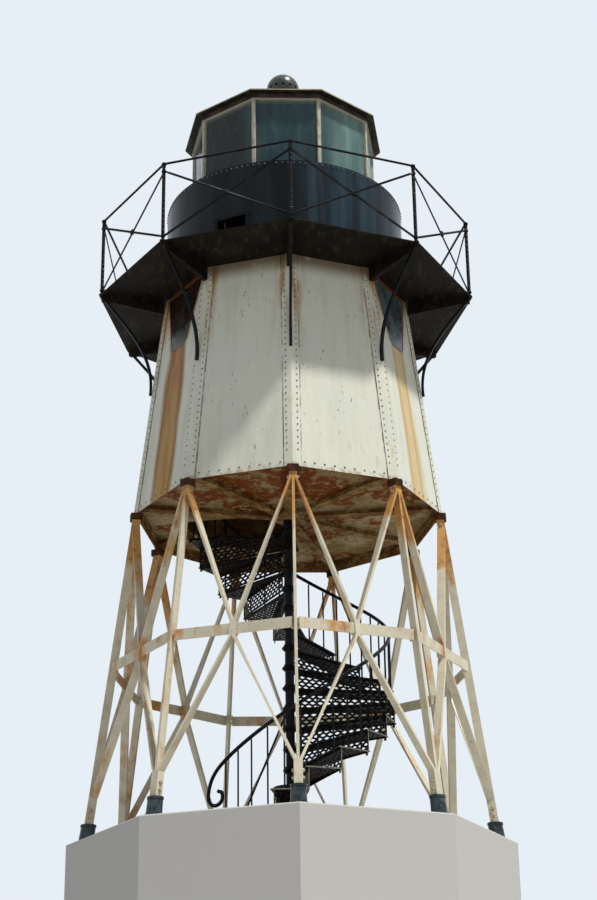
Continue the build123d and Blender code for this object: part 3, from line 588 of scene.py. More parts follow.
def deck_iron():
    """Tarred underside of the gallery, scuffed to brown in patches and thin streaks."""
    made = Shader("deck_iron")
    scuff = made.patches(3.2, 0.46, 0.66, 6, 0.65)
    colour = made.blend(scuff, TAR, TAR_SCUFFED)
    colour = made.over(colour, TAR_STREAK, made.patches(17, 0.54, 0.62, 6, 0.7, made.scaled(1, 0.3, 1)), 0.5)
    colour = made.over(colour, TAR_SPECK, made.patches(70, 0.65, 0.69, 3), 0.4)
    made.bump(30, 0.35, 0.004)
    return made.finish(colour, made.dulled(0.55, scuff, 0.2), 0.08)


def gloss_black(name, grain, smooth):
    """Black paint, brushed on, with dull weathered patches and a few rust points."""
    made = Shader(name)
    wear = made.patches(grain, 0.44, 0.70, 5)
    colour = made.blend(wear, BLACK, BLACK_WORN)
    colour = made.over(colour, BLACK_SPECK, made.patches(90, 0.68, 0.72, 3), 0.6)
    made.bump(grain * 3, 0.22, 0.006)
    return made.finish(colour, made.dulled(smooth, wear, 0.22), 0.10)


def tread_iron():
    """Black treads, with a painted highlight on their outward-facing outer edges."""
    made = Shader("tread_iron")
    wear = made.patches(14, 0.44, 0.70, 5)
    colour = made.blend(wear, TREAD_BLACK, TREAD_WORN)
    colour = made.over(colour, TREAD_BROWN, made.patches(26, 0.56, 0.66), 0.5)
    # Painted highlight: light grey on the faces that look away from the column, broken up in patches
    edge = made.step(made.outward(), *TREAD_EDGE_HIGHLIGHT)
    colour = made.over(colour, TREAD_PAINTED_HIGHLIGHT, edge, made.patches(20, 0.30, 0.44), 0.7)
    made.bump(42, 0.22, 0.004)
    return made.finish(colour, made.dulled(0.42, wear, 0.22), 0.08)


def drum_paint():
    """Black gloss paint on the drum, with a painted sheen of blue sky in upright bands towards the sunny
    side.
    """
    made = Shader("drum_paint")
    azimuth = made.azimuth()
    upright = made.upright(0.05)
    band = made.patches(4.5, 0.42, 0.66, where=upright)
    colour = made.blend(band, DRUM_BLACK, DRUM_WORN)
    # Painted sheen: blue bands of reflected sky on the drum's sunny side
    sheen_side = made.times(made.step(azimuth, *DRUM_SHEEN_FROM), made.step(azimuth, *DRUM_SHEEN_TO))
    sheen = made.blend(made.patches(7, 0.40, 0.66, where=upright), DRUM_PAINTED_SHEEN_DARK, DRUM_PAINTED_SHEEN)
    colour = made.over(colour, sheen, sheen_side, 0.9)
    colour = made.over(colour, BLACK_SPECK, made.patches(80, 0.69, 0.73, 3), 0.6)
    made.bump(4, 0.25, 0.012, 3, 0.5, made.upright(0.3))
    return made.finish(colour, made.dulled(0.24, band, 0.18), 0.12)


def lantern_paint():
    """Cream paint on the bars between the panes, chipped to rust."""
    made = Shader("lantern_paint")
    wear = made.patches(14, 0.42, 0.70, 5)
    colour = made.over(MULLION_CREAM, MULLION_WORN, wear, 0.7)
    colour = made.over(colour, RUST, made.patches(48, 0.60, 0.66), 0.7)
    made.bump(60, 0.3, 0.003, 3)
    return made.finish(colour, made.dulled(0.45, wear, 0.2))


def head_paint():
    """Brown-black beam over the glass, with a cream line where it meets the panes."""
    made = Shader("head_paint")
    z = made.level()
    wear = made.patches(9, 0.40, 0.66, 5)
    colour = made.blend(wear, BEAM_OVER_GLASS, BEAM_OVER_GLASS_WORN)
    line = made.step(z, *CREAM_LINE_LEVELS)
    colour = made.over(colour, CREAM_LINE, line, 0.85)
    made.bump(50, 0.3, 0.003, 3)
    return made.finish(colour, made.dulled(0.5, wear, 0.2), 0.3)


def lantern_glass():
    """Old lantern glass: teal, fogged with salt, with painted shade darkening it to the left and a painted
    pale reflection towards the sun.
    """
    made = Shader("lantern_glass")
    z = made.level()
    azimuth = made.azimuth()
    fog = made.patches(6, 0.36, 0.70, 5, where=made.upright(0.12))
    dark = made.blend(fog, GLASS_PAINTED_SHADE, GLASS_PAINTED_SHADE_FOGGED)
    middle = made.blend(fog, GLASS_TEAL, GLASS_TEAL_FOGGED)
    painted_sheen = made.blend(fog, GLASS_PAINTED_SHEEN, GLASS_PAINTED_SHEEN_FOGGED)
    # Painted shade to the left and a painted pale reflection towards the sun, by azimuth
    colour = made.blend(made.step(azimuth, *GLASS_TEAL_FROM), dark, middle)
    colour = made.blend(made.step(azimuth, *GLASS_SHEEN_FROM), colour, painted_sheen)
    colour = made.over(colour, SALT, made.patches(16, 0.54, 0.72, 5, 0.7, made.scaled(1, 1, 0.4)), 0.12)
    low = made.step(z, *GLASS_BORDER_LOW)
    high = made.step(z, *GLASS_BORDER_HIGH)
    colour = made.over(colour, GLASS_BORDER, made.maths("MAXIMUM", low, high), 0.5)
    made.surface.inputs["Transmission Weight"].default_value = 0.05
    made.surface.inputs["IOR"].default_value = 1.45
    made.bump(2.2, 0.12, 0.02, 2, 0.5)
    return made.finish(colour, made.dulled(0.10, fog, 0.30), 0.25)


def window_glass():
    """Panes of the watch room: brown-dark and greyer towards the bottom on one side, with a painted
    reflection of the sky on the other.
    """
    made = Shader("window_glass")
    x, _, z = made.parts()
    fog = made.patches(4, 0.38, 0.68)
    left = made.blend(made.step(z, *PANE_GREY_LEVELS), PANE_BROWN, PANE_GREY)
    # Painted reflection: sky blue-grey on the panes to the right
    right = made.blend(fog, PANE_PAINTED_SKY_REFLECTION, PANE_PAINTED_SKY_REFLECTION_FOGGED)
    made.bump(3, 0.10, 0.01, 2, 0.5)
    return made.finish(made.blend(made.step(x, -0.2, 0.2), left, right), made.dulled(0.16, fog, 0.25), 0.4)


def roof_paint():
    """Tan paint on the roof and the eave's edge, dark under the eave."""
    made = Shader("roof_paint")
    wear = made.patches(5, 0.40, 0.68, 5)
    colour = made.blend(wear, TAN, TAN_WORN)
    colour = made.over(colour, TAN_SPOT, made.patches(34, 0.60, 0.67), 0.6)
    under = made.blend(made.patches(12, 0.45, 0.65, 5), SOFFIT, SOFFIT_SCUFFED)
    colour = made.blend(made.step(made.facing()[2], -0.4, -0.8), colour, under)
    made.bump(30, 0.3, 0.004)
    return made.finish(colour, made.dulled(0.5, wear, 0.2), 0.3)


def vent_paint():
    """Dark grey paint, half shiny, on the ventilator's neck and ball."""
    made = Shader("vent_paint")
    wear = made.patches(9, 0.40, 0.66, 5)
    colour = made.blend(wear, BALL_GREY, BALL_WORN)
    colour = made.over(colour, BALL_SPECK, made.patches(60, 0.62, 0.68), 0.6)
    made.bump(40, 0.25, 0.003)
    return made.finish(colour, made.dulled(0.30, wear, 0.2), 0.45)


def rivet_iron(name, dark, light):
    made = Shader(name)
    made.bump(160, 0.3, 0.001, 2)
    return made.finish(made.blend(made.patches(40, 0.40, 0.62, 3), dark, light), 0.55)


def bolt_iron():
    made = Shader("bolt_iron")
    made.bump(140, 0.3, 0.001, 2)
    return made.finish(made.blend(made.patches(45, 0.42, 0.62, 3), NUT_CREAM, NUT_RUST), 0.5)


def stage_white(name, colour):
    made = Shader(name)
    tone = made.patches(0.8, 0.2, 0.8, 2, 0.55)
    darker = tuple(0.94 * part for part in colour)
    made.bump(9, 0.05, 0.01, 3, 0.55)
    return made.finish(made.over(colour, darker, tone, 0.15), 0.8)


wall_plain = wall_paint("wall_paint", False)
black = gloss_black("black_paint", 9, 0.36)
stair_black = gloss_black("stair_iron", 14, 0.34)
tread_paint = tread_iron()
rivet_paint = rivet_iron("rivet_iron", RIVET_BROWN, RIVET_CREAM)
# The drum's rivets: black with grey patches as painted highlights
dark_rivet_paint = rivet_iron("dark_rivet_iron", RIVET_BLACK, RIVET_PAINTED_HIGHLIGHT)
bolt_paint = bolt_iron()


def paint(coat, *names):
    for name in names:
        nodes[name].data.materials.clear()
        nodes[name].data.materials.append(coat)


paint(socket_iron(), "leg_sockets")
paint(skeleton_paint(), "leg_bars", "lower_brace_bars", "upper_brace_bars", "ring_band_bars")
paint(rusty_iron(), "corner_shoes")
paint(underside_paint(), "floor_plates")
paint(beam_paint(), "floor_rim_bars", "floor_beams", "floor_hub")
paint(wall_plain, "plain_walls", "corner_straps")
paint(wall_paint("wall_paint_streaked", True), "window_walls")
paint(window_glass(), "window_panes")
paint(deck_iron(), "gallery_deck", "lantern_floor", "deck_beams")
paint(black, "deck_brackets", "door_frame")
paint(black, "rail_posts", "top_rails", "outer_rail_braces", "inner_rail_braces")
paint(drum_paint(), "drum_plates", "doorway_plate", "drum_ledge")
paint(lantern_paint(), "lantern_curb", "lantern_mullions")
paint(head_paint(), "lantern_head")
paint(lantern_glass(), "lantern_panes")
paint(roof_paint(), "eave", "roof")
paint(vent_paint(), "vent_neck", "vent_ball")
paint(stair_black, "stair_pedestal", "stair_column", "stair_handrail", "stair_balusters", "column_stay")
paint(tread_paint, "stair_treads")


# Mesh helpers


def new_piece(name, mesh, coat):
    data = bpy.data.meshes.new(name)
    bmesh.ops.recalc_face_normals(mesh, faces=mesh.faces)
    mesh.to_mesh(data)
    mesh.free()
    data.materials.append(coat)
    piece = bpy.data.objects.new(name, data)
    bpy.context.scene.collection.objects.link(piece)
    return piece


def place_piece(name, mesh, coat, stands_for=()):
    piece = new_piece(name, mesh, coat)
    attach(piece, "root")
    if stands_for:
        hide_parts(*stands_for)


def join_mesh(mesh, part):
    """Adds a part to a mesh and frees it."""
    hold = bpy.data.meshes.new("hold")
    part.to_mesh(hold)
    part.free()
    mesh.from_mesh(hold)
    bpy.data.meshes.remove(hold)


def add_rings(mesh, rings, loop=False):
    """Skins closed rings of points, one after the other, and caps the ends or closes the loop."""
    made = [[mesh.verts.new(point) for point in ring] for ring in rings]
    if loop:
        made.append(made[0])
    for low, high in zip(made, made[1:]):
        for index in range(len(low)):
            after = (index + 1) % len(low)
            mesh.faces.new((low[index], low[after], high[after], high[index]))
    if not loop:
        mesh.faces.new(list(reversed(made[0])))
        mesh.faces.new(made[-1])


def axes_for(normal):
    across = UP.cross(normal)
    if across.length < 0.01:
        across = Vector((1, 0, 0))
    across.normalize()
    return across, normal.cross(across).normalized()


def disc(centre, normal, radius, count, turn=0.0):
    """Points of a circle about a centre, square to a normal."""
    across, along = axes_for(normal)
    turns = [turn + 2 * pi * index / count for index in range(count)]
    return [centre + across * (radius * cos(angle)) + along * (radius * sin(angle)) for angle in turns]


def add_turned(mesh, centre, axis, profile, sides, turn=0.0, loop=False):
    """A form turned about an axis; its profile gives radii and heights above the centre."""
    rings = [disc(centre + axis * height, axis, radius, sides, turn) for radius, height in profile]
    add_rings(mesh, rings, loop)


# Rivets, nuts and bolts

# A rivet's head from just inside the plate to its crown, as shares of its radius and height
RIVET_PROFILE = ((1.0, -0.4), (0.88, 0.45), (0.42, 1.0))
RIVET_SIDES = 7
# A nut and the bolt's end in it, as shares of the nut's radius and height, but the seat in metres
NUT_SEAT = 0.0005
NUT_SHOULDER = 0.8
NUT_CROWN = 0.86
BOLT_RADIUS = 0.48
BOLT_LOW = 0.9
BOLT_HIGH = 1.5
NUT_SIDES = 6

# Radius and height of each kind
STRAP_RIVET = (0.0095, 0.006)
FOOT_RIVET = (0.011, 0.007)
DRUM_RIVET = (0.0105, 0.007)
SOCKET_NUT = (0.019, 0.013)
BAND_NUT = (0.014, 0.010)
HEAD_NUT = (0.017, 0.012)
LUG_NUT = (0.013, 0.010)

STRAP_ROW = 0.053
STRAP_FACE = 0.0067
STRAP_RIVET_PITCH = 0.0655
STRAP_RIVET_FIRST = WALL_FOOT + 0.165
STRAP_RIVET_LAST = WALL_HEAD - 0.03
FOOT_ROW = WALL_FOOT + 0.050
FOOT_RIVETS = 9
FOOT_RIVET_MARGIN = 0.115
DRUM_ROW = DRUM_TOP - 0.028
DRUM_RIVET_PITCH = 0.057

LEG_SIDE = 0.0363
SOCKET_BOLTS = (0.235, 0.297)
HEAD_BOLTS = (2.955, 3.025)
BAND_BOLTS = (BAND - 0.024, BAND + 0.024)
BAND_BOLT_SIDE = 0.0245
BAND_BOLT_INSET = 0.010
LUG_BOLTS = (BAND - 0.026, BAND + 0.026)
LUG_SIDE = 0.0366
LUG_INSET = 0.011


def add_rivet(mesh, centre, normal, size):
    radius, height = size
    profile = [(radius * wide, height * high) for wide, high in RIVET_PROFILE]
    add_turned(mesh, centre, normal, profile, RIVET_SIDES)


def add_nut(mesh, centre, normal, size):
    """A six-sided nut with a chamfer, turned at random, and the bolt's end in it."""
    radius, height = size
    nut = ((radius, -NUT_SEAT), (radius, height * NUT_SHOULDER), (radius * NUT_CROWN, height))
    add_turned(mesh, centre, normal, nut, NUT_SIDES, dice.uniform(0, 1))
    bolt = [(radius * BOLT_RADIUS, height * share) for share in (BOLT_LOW, BOLT_HIGH)]
    add_turned(mesh, centre, normal, bolt, NUT_SIDES)


def wall_rivets():
    """Two rows at each corner strap and one along the foot of each wall."""
    mesh = bmesh.new()
    lean = Vector((0, 0, (WALL_FOOT_R - WALL_HEAD_R) * FLAT / (WALL_HEAD - WALL_FOOT)))
    for corner in range(SIDES):
        for side in (-1, 1):
            face = corner * BAY + side * BAY / 2
            level = STRAP_RIVET_FIRST
            while level < STRAP_RIVET_LAST:
                edge = at(corner * BAY, wall_radius(level) + STRAP_FACE, level)
                place = edge + sideways(face) * (side * STRAP_ROW)
                add_rivet(mesh, place, (outwards(face) + lean).normalized(), STRAP_RIVET)
                level += STRAP_RIVET_PITCH
    half = wall_radius(FOOT_ROW) * sin(HALF) - FOOT_RIVET_MARGIN
    for face in range(SIDES):
        azimuth = face * BAY + BAY / 2
        for index in range(FOOT_RIVETS):
            aside = half * (index / (FOOT_RIVETS // 2) - 1)
            place = at(azimuth, wall_radius(FOOT_ROW) * FLAT, FOOT_ROW, aside)
            add_rivet(mesh, place, (outwards(azimuth) + lean).normalized(), FOOT_RIVET)
    place_piece("wall_rivets", mesh, rivet_paint)


def drum_rivets():
    """One row along the drum's top."""
    mesh = bmesh.new()
    count = round(2 * pi * DRUM_R / DRUM_RIVET_PITCH)
    for index in range(count):
        azimuth = 360 * index / count
        add_rivet(mesh, at(azimuth, DRUM_R, DRUM_ROW), outwards(azimuth), DRUM_RIVET)
    place_piece("drum_rivets", mesh, dark_rivet_paint)


def skeleton_bolts():
    """Bolts through each leg at its socket, at the band and at its head."""
    mesh = bmesh.new()
    for corner in range(SIDES):
        azimuth = corner * BAY
        along = sideways(azimuth)
        for level in SOCKET_BOLTS:
            for side in (-1, 1):
                place = at(azimuth, leg_radius(level), level, side * LEG_SIDE)
                add_nut(mesh, place, along * side, SOCKET_NUT)
        for side in (-1, 1):
            for level in BAND_BOLTS:
                place = at(azimuth, leg_radius(level) - BAND_BOLT_INSET, level, side * BAND_BOLT_SIDE)
                add_nut(mesh, place, along * side, BAND_NUT)
        for level in HEAD_BOLTS:
            for side in (-1, 1):
                place = at(azimuth, leg_radius(level), level, side * LEG_SIDE)
                add_nut(mesh, place, along * side, HEAD_NUT)
    place_piece("skeleton_bolts", mesh, bolt_paint)


def band_bolts():
    """Bolts at the middle of each bay, through the band's lugs and the two braces."""
    mesh = bmesh.new()
    for bay in range(SIDES):
        azimuth = bay * BAY + BAY / 2
        for side in (-1, 1):
            for level in LUG_BOLTS:
                place = at(azimuth, leg_radius(BAND) * FLAT - LUG_INSET, level, side * LUG_SIDE)
                add_nut(mesh, place, sideways(azimuth) * side, LUG_NUT)
    place_piece("band_bolts", mesh, bolt_paint)


# Gallery rail: twisted square bars, plain flat bars, and the knuckles that join them

POST_WIDTH = 0.026
POST_TWIST = 9
# Radius and height above the deck of a post's flange
FLANGE_PROFILE = ((0.030, 0.0), (0.030, 0.010), (0.021, 0.019))
FLANGE_SIDES = 12
BRACE_WIDTH = 0.017
BRACE_TWIST = 13
FLAT_WIDTH = 0.022
FLAT_PLATE = 0.008
FLAT_INSET = 0.0043
BRACE_LOW = DECK_TOP + 0.052
BRACE_HIGH = RAIL_TOP - 0.092
BRACE_TRIM = 0.017
# Radius and squash of the knuckles
CROSSING_KNUCKLE = (0.033, 0.55)
POST_KNUCKLE = (0.025, 0.85)
CROSSING_OUTSET = 0.002
BALL_STEPS = 6
BALL_SIDES = 10
POST_KNUCKLES = (RAIL_TOP - 0.014, BRACE_HIGH - 0.002, BRACE_LOW + 0.002)


def add_twisted_bar(mesh, start, end, width, turns_per_metre, steps_per_turn=10, plain=0.035):
    """A square bar, twisted between its two plain ends."""
    length = (end - start).length
    along = (end - start).normalized()
    steps = max(8, int(length * turns_per_metre * steps_per_turn))
    rings = []
    for step in range(steps + 1):
        distance = step / steps * length
        twisted = min(max(distance - plain, 0), length - 2 * plain)
        turn = pi / 4 + twisted * turns_per_metre * 2 * pi
        rings.append(disc(start + along * distance, along, width * sqrt(0.5), 4, turn))
    add_rings(mesh, rings)


def add_flat_bar(mesh, start, end, outward, width, thickness):
    upward = outward.cross((end - start).normalized()).normalized()
    rings = []
    for centre in (start, end):
        rings.append([centre + outward * (a * thickness / 2) + upward * (b * width / 2)
                      for a, b in ((-1, -1), (1, -1), (1, 1), (-1, 1))])
    add_rings(mesh, rings)


def add_ball(mesh, centre, axis, radius, squash):
    turns = [pi * step / BALL_STEPS for step in range(1, BALL_STEPS)]
    profile = [(radius * sin(turn), -radius * squash * cos(turn)) for turn in turns]
    add_turned(mesh, centre, axis, profile, BALL_SIDES)


def rail_posts():
    mesh = bmesh.new()
    for corner in range(SIDES):
        low = at(corner * BAY, RAIL_R, DECK_TOP)
        add_twisted_bar(mesh, low, at(corner * BAY, RAIL_R, RAIL_FOOT), POST_WIDTH, POST_TWIST)
        add_turned(mesh, low, UP, FLANGE_PROFILE, FLANGE_SIDES)
    place_piece("twisted_rail_posts", mesh, black, ("rail_posts",))


def brace_ends(bay, rising):
    """Ends of one brace; rising is 1 where it rises towards the higher azimuth."""
    azimuth = bay * BAY + BAY / 2
    aside = rising * (RAIL_R * sin(HALF) - BRACE_TRIM)
    return (at(azimuth, RAIL_R * FLAT, BRACE_LOW + BRACE_TRIM / 2, -aside),
            at(azimuth, RAIL_R * FLAT, BRACE_HIGH - BRACE_TRIM / 2, aside))


def rail_braces():
    """In each bay a twisted bar and, just inside it, a flat bar that crosses it."""
    twisted = bmesh.new()
    plain = bmesh.new()
    for bay in range(SIDES):
        out = outwards(bay * BAY + BAY / 2)
        rising = 1 if bay <= SIDES // 2 else -1
        start, end = brace_ends(bay, rising)
        offset = out * (BRACE_WIDTH / 2)
        add_twisted_bar(twisted, start + offset, end + offset, BRACE_WIDTH, BRACE_TWIST, 8)
        start, end = brace_ends(bay, -rising)
        offset = out * FLAT_INSET
        add_flat_bar(plain, start - offset, end - offset, out, FLAT_WIDTH, FLAT_PLATE)
    place_piece("twisted_rail_braces", twisted, black, ("outer_rail_braces",))
    place_piece("flat_rail_braces", plain, black, ("inner_rail_braces",))


def rail_knuckles():
    """A flattened ball where braces cross, and balls up each post."""
    mesh = bmesh.new()
    for bay in range(SIDES):
        azimuth = bay * BAY + BAY / 2
        centre = at(azimuth, RAIL_R * FLAT + CROSSING_OUTSET, (BRACE_LOW + BRACE_HIGH) / 2)
        add_ball(mesh, centre, outwards(azimuth), *CROSSING_KNUCKLE)
    for corner in range(SIDES):
        for level in POST_KNUCKLES:
            add_ball(mesh, at(corner * BAY, RAIL_R, level), UP, *POST_KNUCKLE)
    place_piece("rail_knuckles", mesh, black)


# Stair treads and risers with staggered lozenge holes

TREAD_FRAME = 0.016
TREAD_RIM = 0.018
TREAD_ROOT_FRAME = 0.045
TREAD_ROOT = HUB_R - 0.010
TREAD_NET = TREAD_PLATE - 0.001
RISER_FRAME = 0.014
RISER_NET = 0.004
NET_WIDTH = 1.1
NET_HEIGHT = 0.5

WEB_ROOT = COLUMN_R + TREAD_GAP
WEB_END = RISER_END - 0.022
WEB_STEP = 0.0001
WEB_HALF = 0.004
WEB_TURN = TREAD_SWEEP - radians(1)
WEB_LEAST = 0.020
WEB_SWELL = 0.040
WEB_BLOCK = 0.042
WEB_SPANS = 12

COLLAR_SIDES = 24
# Radius and height about the tread's top, round the collar's double cone
COLLAR_PROFILE = (
    (COLUMN_R + 0.001, -0.028), (COLUMN_R + 0.010, -0.028), (HUB_R, -0.010), (HUB_R, 0.0),
    (COLUMN_R + 0.010, 0.016), (COLUMN_R + 0.010, 0.028), (COLUMN_R + 0.001, 0.028),
)


def lozenge(x, y, length, width):
    return [(x - length / 2, y), (x, y - width / 2), (x + length / 2, y), (x, y + width / 2)]


def lozenge_net(mesh, width, height):
    """A flat plate over 0..width by 0..height, pierced by staggered lozenge holes."""
    corners = {}

    def vertex(x, y):
        key = (round(x, 6), round(y, 6))
        if key not in corners:
            corners[key] = mesh.verts.new((x, y, 0))
        return corners[key]

    for row in range(int(height / HOLE_ROW) + 2):
        for column in range(int(width / HOLE_PITCH) + 2):
            x = (column + row % 2 / 2) * HOLE_PITCH
            y = row * HOLE_ROW
            outer = lozenge(x, y, HOLE_PITCH, 2 * HOLE_ROW)
            inner = lozenge(x, y, HOLE_LENGTH, HOLE_WIDTH)
            for index in range(4):
                after = (index + 1) % 4
                mesh.faces.new((vertex(*outer[index]), vertex(*outer[after]),
                                vertex(*inner[after]), vertex(*inner[index])))


def meeting(first, second):
    """Where two lines meet; a line is a direction across it and its distance from the origin."""
    (a, b, c), (d, e, f) = first, second
    share = a * e - b * d
    return (c * e - b * f) / share, (a * f - c * d) / share


def sector_lines(inner, edge, rim):
    """Sides of a tread seen from above, set in from its edges."""
    half = TREAD_SWEEP / 2
    return [(0, -1, -edge), (cos(half), sin(half), TREAD_R * cos(half) - rim),
            (-sin(TREAD_SWEEP), cos(TREAD_SWEEP), -edge), (-cos(half), -sin(half), -inner)]


def riser_lines(inner, low, edge):
    """Sides of a riser seen from the front, set in from its edges."""
    return [(0, -1, -low - edge), (1, 0, RISER_END - edge), (0, 1, RISE - edge), (-1, 0, -inner - edge)]


def pierced_plate(mesh, outline, inline, thickness, net_thickness):
    """A frame between two sets of lines, and within it a thinner plate of lozenge holes."""
    net = bmesh.new()
    lozenge_net(net, NET_WIDTH, NET_HEIGHT)
    for a, b, distance in inline:
        everything = list(net.verts) + list(net.edges) + list(net.faces)
        bmesh.ops.bisect_plane(net, geom=everything, dist=1e-6, plane_co=(a * distance, b * distance, 0),
                               plane_no=(a, b, 0), clear_outer=True)
    result = bmesh.ops.extrude_face_region(net, geom=list(net.faces))
    moved = [item for item in result["geom"] if isinstance(item, bmesh.types.BMVert)]
    bmesh.ops.translate(net, verts=moved, vec=(0, 0, -net_thickness))
    bmesh.ops.translate(net, verts=net.verts, vec=(0, 0, (net_thickness - thickness) / 2))
    join_mesh(mesh, net)
    corners = [[meeting(lines[index - 1], lines[index]) for index in range(4)] for lines in (outline, inline)]
    section = ((0, 0), (0, -thickness), (1, -thickness), (1, 0))
    add_rings(mesh, [[(x, y, level) for x, y in corners[side]] for side, level in section], True)


def web_depth(radius):
    """Depth of the web under a tread: a block at its outer end, then thin, deepening to the column."""
    if radius > WEB_END:
        return WEB_BLOCK
    return WEB_LEAST + WEB_SWELL * ((WEB_END - radius) / RISER_END) ** 1.5


def add_web(mesh, start):
    """The web along a tread's rear edge, from its start near the column to its outer block."""
    along = Vector((cos(WEB_TURN), sin(WEB_TURN), 0))
    side = Vector((-sin(WEB_TURN), cos(WEB_TURN), 0)) * WEB_HALF
    spans = [start + (WEB_END - start) * index / WEB_SPANS for index in range(WEB_SPANS + 1)]
    rings = []
    for radius in spans + [WEB_END + WEB_STEP, RISER_END]:
        top = along * radius - UP * TREAD_PLATE
        low = along * radius - UP * web_depth(radius)
        rings.append([top - side, top + side, low + side, low - side])
    add_rings(mesh, rings)


def add_riser(mesh, step):
    """The riser under a tread's front edge, down to the tread below or the ground."""
    riser = bmesh.new()
    low = RISE - FIRST_TREAD + TREAD_FOOTING if step == 0 else TREAD_FOOTING
    start = BESIDE_PEDESTAL if step <= LOW_STEPS else HUB_R
    inline = riser_lines(start, low, RISER_FRAME)
    pierced_plate(riser, riser_lines(start, low, 0), inline, RISER_PLATE, RISER_NET)
    bmesh.ops.transform(riser, matrix=Matrix.Rotation(radians(90), 4, "X"), verts=riser.verts)
    bmesh.ops.translate(riser, verts=riser.verts, vec=(0, RISER_SETBACK, -RISE))
    join_mesh(mesh, riser)


def stair_step(step):
    """One tread with its riser, web and collar; the low ones stop beside the pedestal."""
    low = step < LOW_STEPS
    part = bmesh.new()
    start = BESIDE_PEDESTAL if low else TREAD_ROOT
    inline = sector_lines(start + TREAD_ROOT_FRAME, TREAD_FRAME, TREAD_RIM)
    pierced_plate(part, sector_lines(start, 0, 0), inline, TREAD_PLATE, TREAD_NET)
    add_riser(part, step)
    add_web(part, BESIDE_PEDESTAL if low else WEB_ROOT)
    if not low:
        add_turned(part, Vector((0, 0, 0)), UP, COLLAR_PROFILE, COLLAR_SIDES, loop=True)
    turn = radians(FIRST_AZIMUTH + step * TREAD_ANGLE - 90)
    place = Matrix.Translation((0, 0, FIRST_TREAD + step * RISE)) @ Matrix.Rotation(turn, 4, "Z")
    bmesh.ops.transform(part, matrix=place, verts=part.verts)
    return part


def stair_treads():
    mesh = bmesh.new()
    for step in range(TREADS):
        join_mesh(mesh, stair_step(step))
    place_piece("perforated_treads", mesh, tread_paint, ("stair_treads",))


wall_rivets()
drum_rivets()
skeleton_bolts()
band_bolts()
rail_posts()
rail_braces()
rail_knuckles()
stair_treads()


# Stage, lights and camera

FLOOR_LEVEL = -5.2
# Radius and level of the podium's side, with a rounded upper edge just under the sockets
PODIUM_PROFILE = ((2.020, FLOOR_LEVEL), (2.020, -0.014), (2.015, -0.005), (2.006, -0.0005))
FLOOR_R = 60
FLOOR_SIDES = 64
SUN_AZIMUTH = 54
SUN_ELEVATION = 65
SUN_POWER = 3.7
SUN_WIDTH = radians(4)
LAMP_DISTANCE = 20
FILL_SIZE = 7
FILL_POWER = 60
SKY_FILL = 0.17
LIT_POINT = Vector((0, 0, 4.0))
CAMERA_PLACE = (-0.585, -17.187, -3.424)
CAMERA_HEADING = radians(2.323)
CAMERA_PITCH = radians(23.10)
CAMERA_ROLL = radians(-0.812)
CAMERA_LENS = 76.57
CAMERA_SENSOR = 36
CAMERA_REACH = 200


def stage_objects():
    """A nine-sided podium under the sockets, and the studio floor below it."""
    mesh = bmesh.new()
    add_rings(mesh, [[at(corner * BAY, radius, level) for corner in range(SIDES)]
                     for radius, level in PODIUM_PROFILE])
    new_piece("podium", mesh, stage_white("podium_white", PODIUM_WHITE))
    mesh = bmesh.new()
    mesh.faces.new([mesh.verts.new(point) for point in disc(UP * FLOOR_LEVEL, UP, FLOOR_R, FLOOR_SIDES)])
    new_piece("floor", mesh, stage_white("floor_white", FLOOR_WHITE))


def place_lamp(data, azimuth, elevation, distance):
    """A lamp that shines on the tower from an azimuth and an elevation, in degrees."""
    turn = radians(azimuth)
    rise = radians(elevation)
    away = Vector((sin(turn) * cos(rise), -cos(turn) * cos(rise), sin(rise)))
    lamp = bpy.data.objects.new(data.name, data)
    lamp.location = LIT_POINT + away * distance
    lamp.rotation_euler = away.to_track_quat("Z", "Y").to_euler()
    bpy.context.scene.collection.objects.link(lamp)


def fill_light(name, azimuth, elevation, distance, colour):
    data = bpy.data.lights.new(name, "AREA")
    data.energy = FILL_POWER
    data.size = FILL_SIZE
    data.color = colour
    place_lamp(data, azimuth, elevation, distance)


def sun_light():
    data = bpy.data.lights.new("key_sun", "SUN")
    data.energy = SUN_POWER
    data.angle = SUN_WIDTH
    data.color = SUN_WHITE
    place_lamp(data, SUN_AZIMUTH, SUN_ELEVATION, LAMP_DISTANCE)


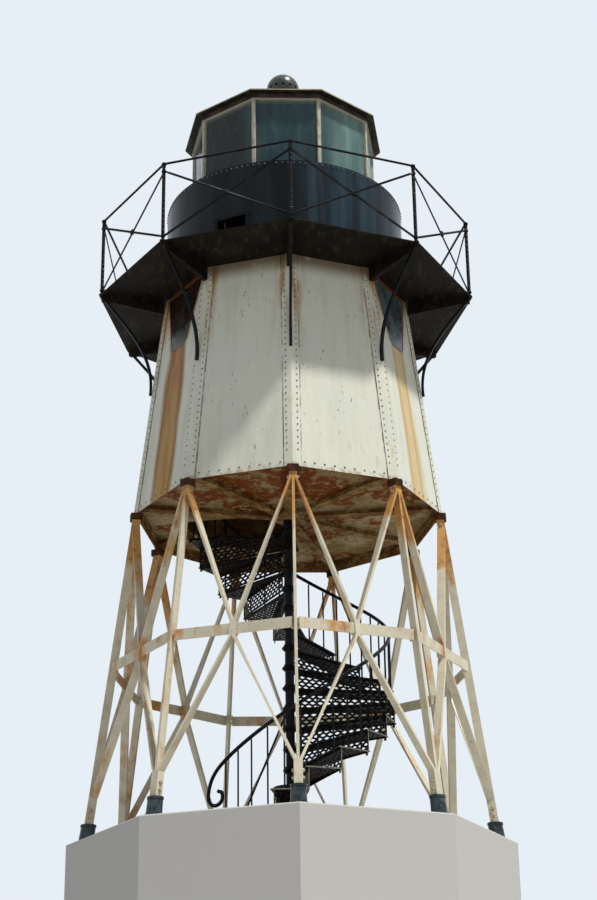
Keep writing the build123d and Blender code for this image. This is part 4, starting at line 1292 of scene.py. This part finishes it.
def pale_world():
    """A pale backdrop for the eye, reflections and glass, and a weaker blue fill for the rest."""
    world = bpy.data.worlds.new("studio")
    bpy.context.scene.world = world
    world.use_nodes = True
    tree = world.node_tree
    tree.nodes.clear()
    output = tree.nodes.new("ShaderNodeOutputWorld")
    path = tree.nodes.new("ShaderNodeLightPath")
    seen = path.outputs["Is Camera Ray"]
    for ray in ("Is Transmission Ray", "Is Glossy Ray"):
        either = tree.nodes.new("ShaderNodeMath")
        either.operation = "MAXIMUM"
        tree.links.new(seen, either.inputs[0])
        tree.links.new(path.outputs[ray], either.inputs[1])
        seen = either.outputs[0]
    mix = tree.nodes.new("ShaderNodeMixShader")
    tree.links.new(seen, mix.inputs["Fac"])
    for socket, colour, strength in ((1, FILL_BLUE, SKY_FILL), (2, BACKDROP_PALE, 1.0)):
        background = tree.nodes.new("ShaderNodeBackground")
        background.inputs["Color"].default_value = colour
        background.inputs["Strength"].default_value = strength
        tree.links.new(background.outputs[0], mix.inputs[socket])
    tree.links.new(mix.outputs[0], output.inputs["Surface"])


def camera():
    """The photograph's viewpoint, low in front of the tower and looking up at it."""
    data = bpy.data.cameras.new("camera")
    data.lens = CAMERA_LENS
    data.sensor_width = CAMERA_SENSOR
    data.sensor_fit = "AUTO"
    data.clip_end = CAMERA_REACH
    view = bpy.data.objects.new("camera", data)
    forward = Vector((sin(CAMERA_HEADING) * cos(CAMERA_PITCH), cos(CAMERA_HEADING) * cos(CAMERA_PITCH),
                      sin(CAMERA_PITCH)))
    level_right = Vector((cos(CAMERA_HEADING), -sin(CAMERA_HEADING), 0))
    level_up = level_right.cross(forward)
    right = level_right * cos(CAMERA_ROLL) + level_up * sin(CAMERA_ROLL)
    turn = Matrix((right, right.cross(forward), -forward)).transposed()
    view.matrix_world = Matrix.Translation(CAMERA_PLACE) @ turn.to_4x4()
    bpy.context.scene.collection.objects.link(view)
    bpy.context.scene.camera = view


stage_objects()
sun_light()
fill_light("fill_left", -60, 18, 13, SKY_WHITE)
fill_light("fill_low", 10, -22, 12, GROUND_WHITE)
pale_world()
camera()
bpy.context.scene.view_settings.view_transform = "Standard"
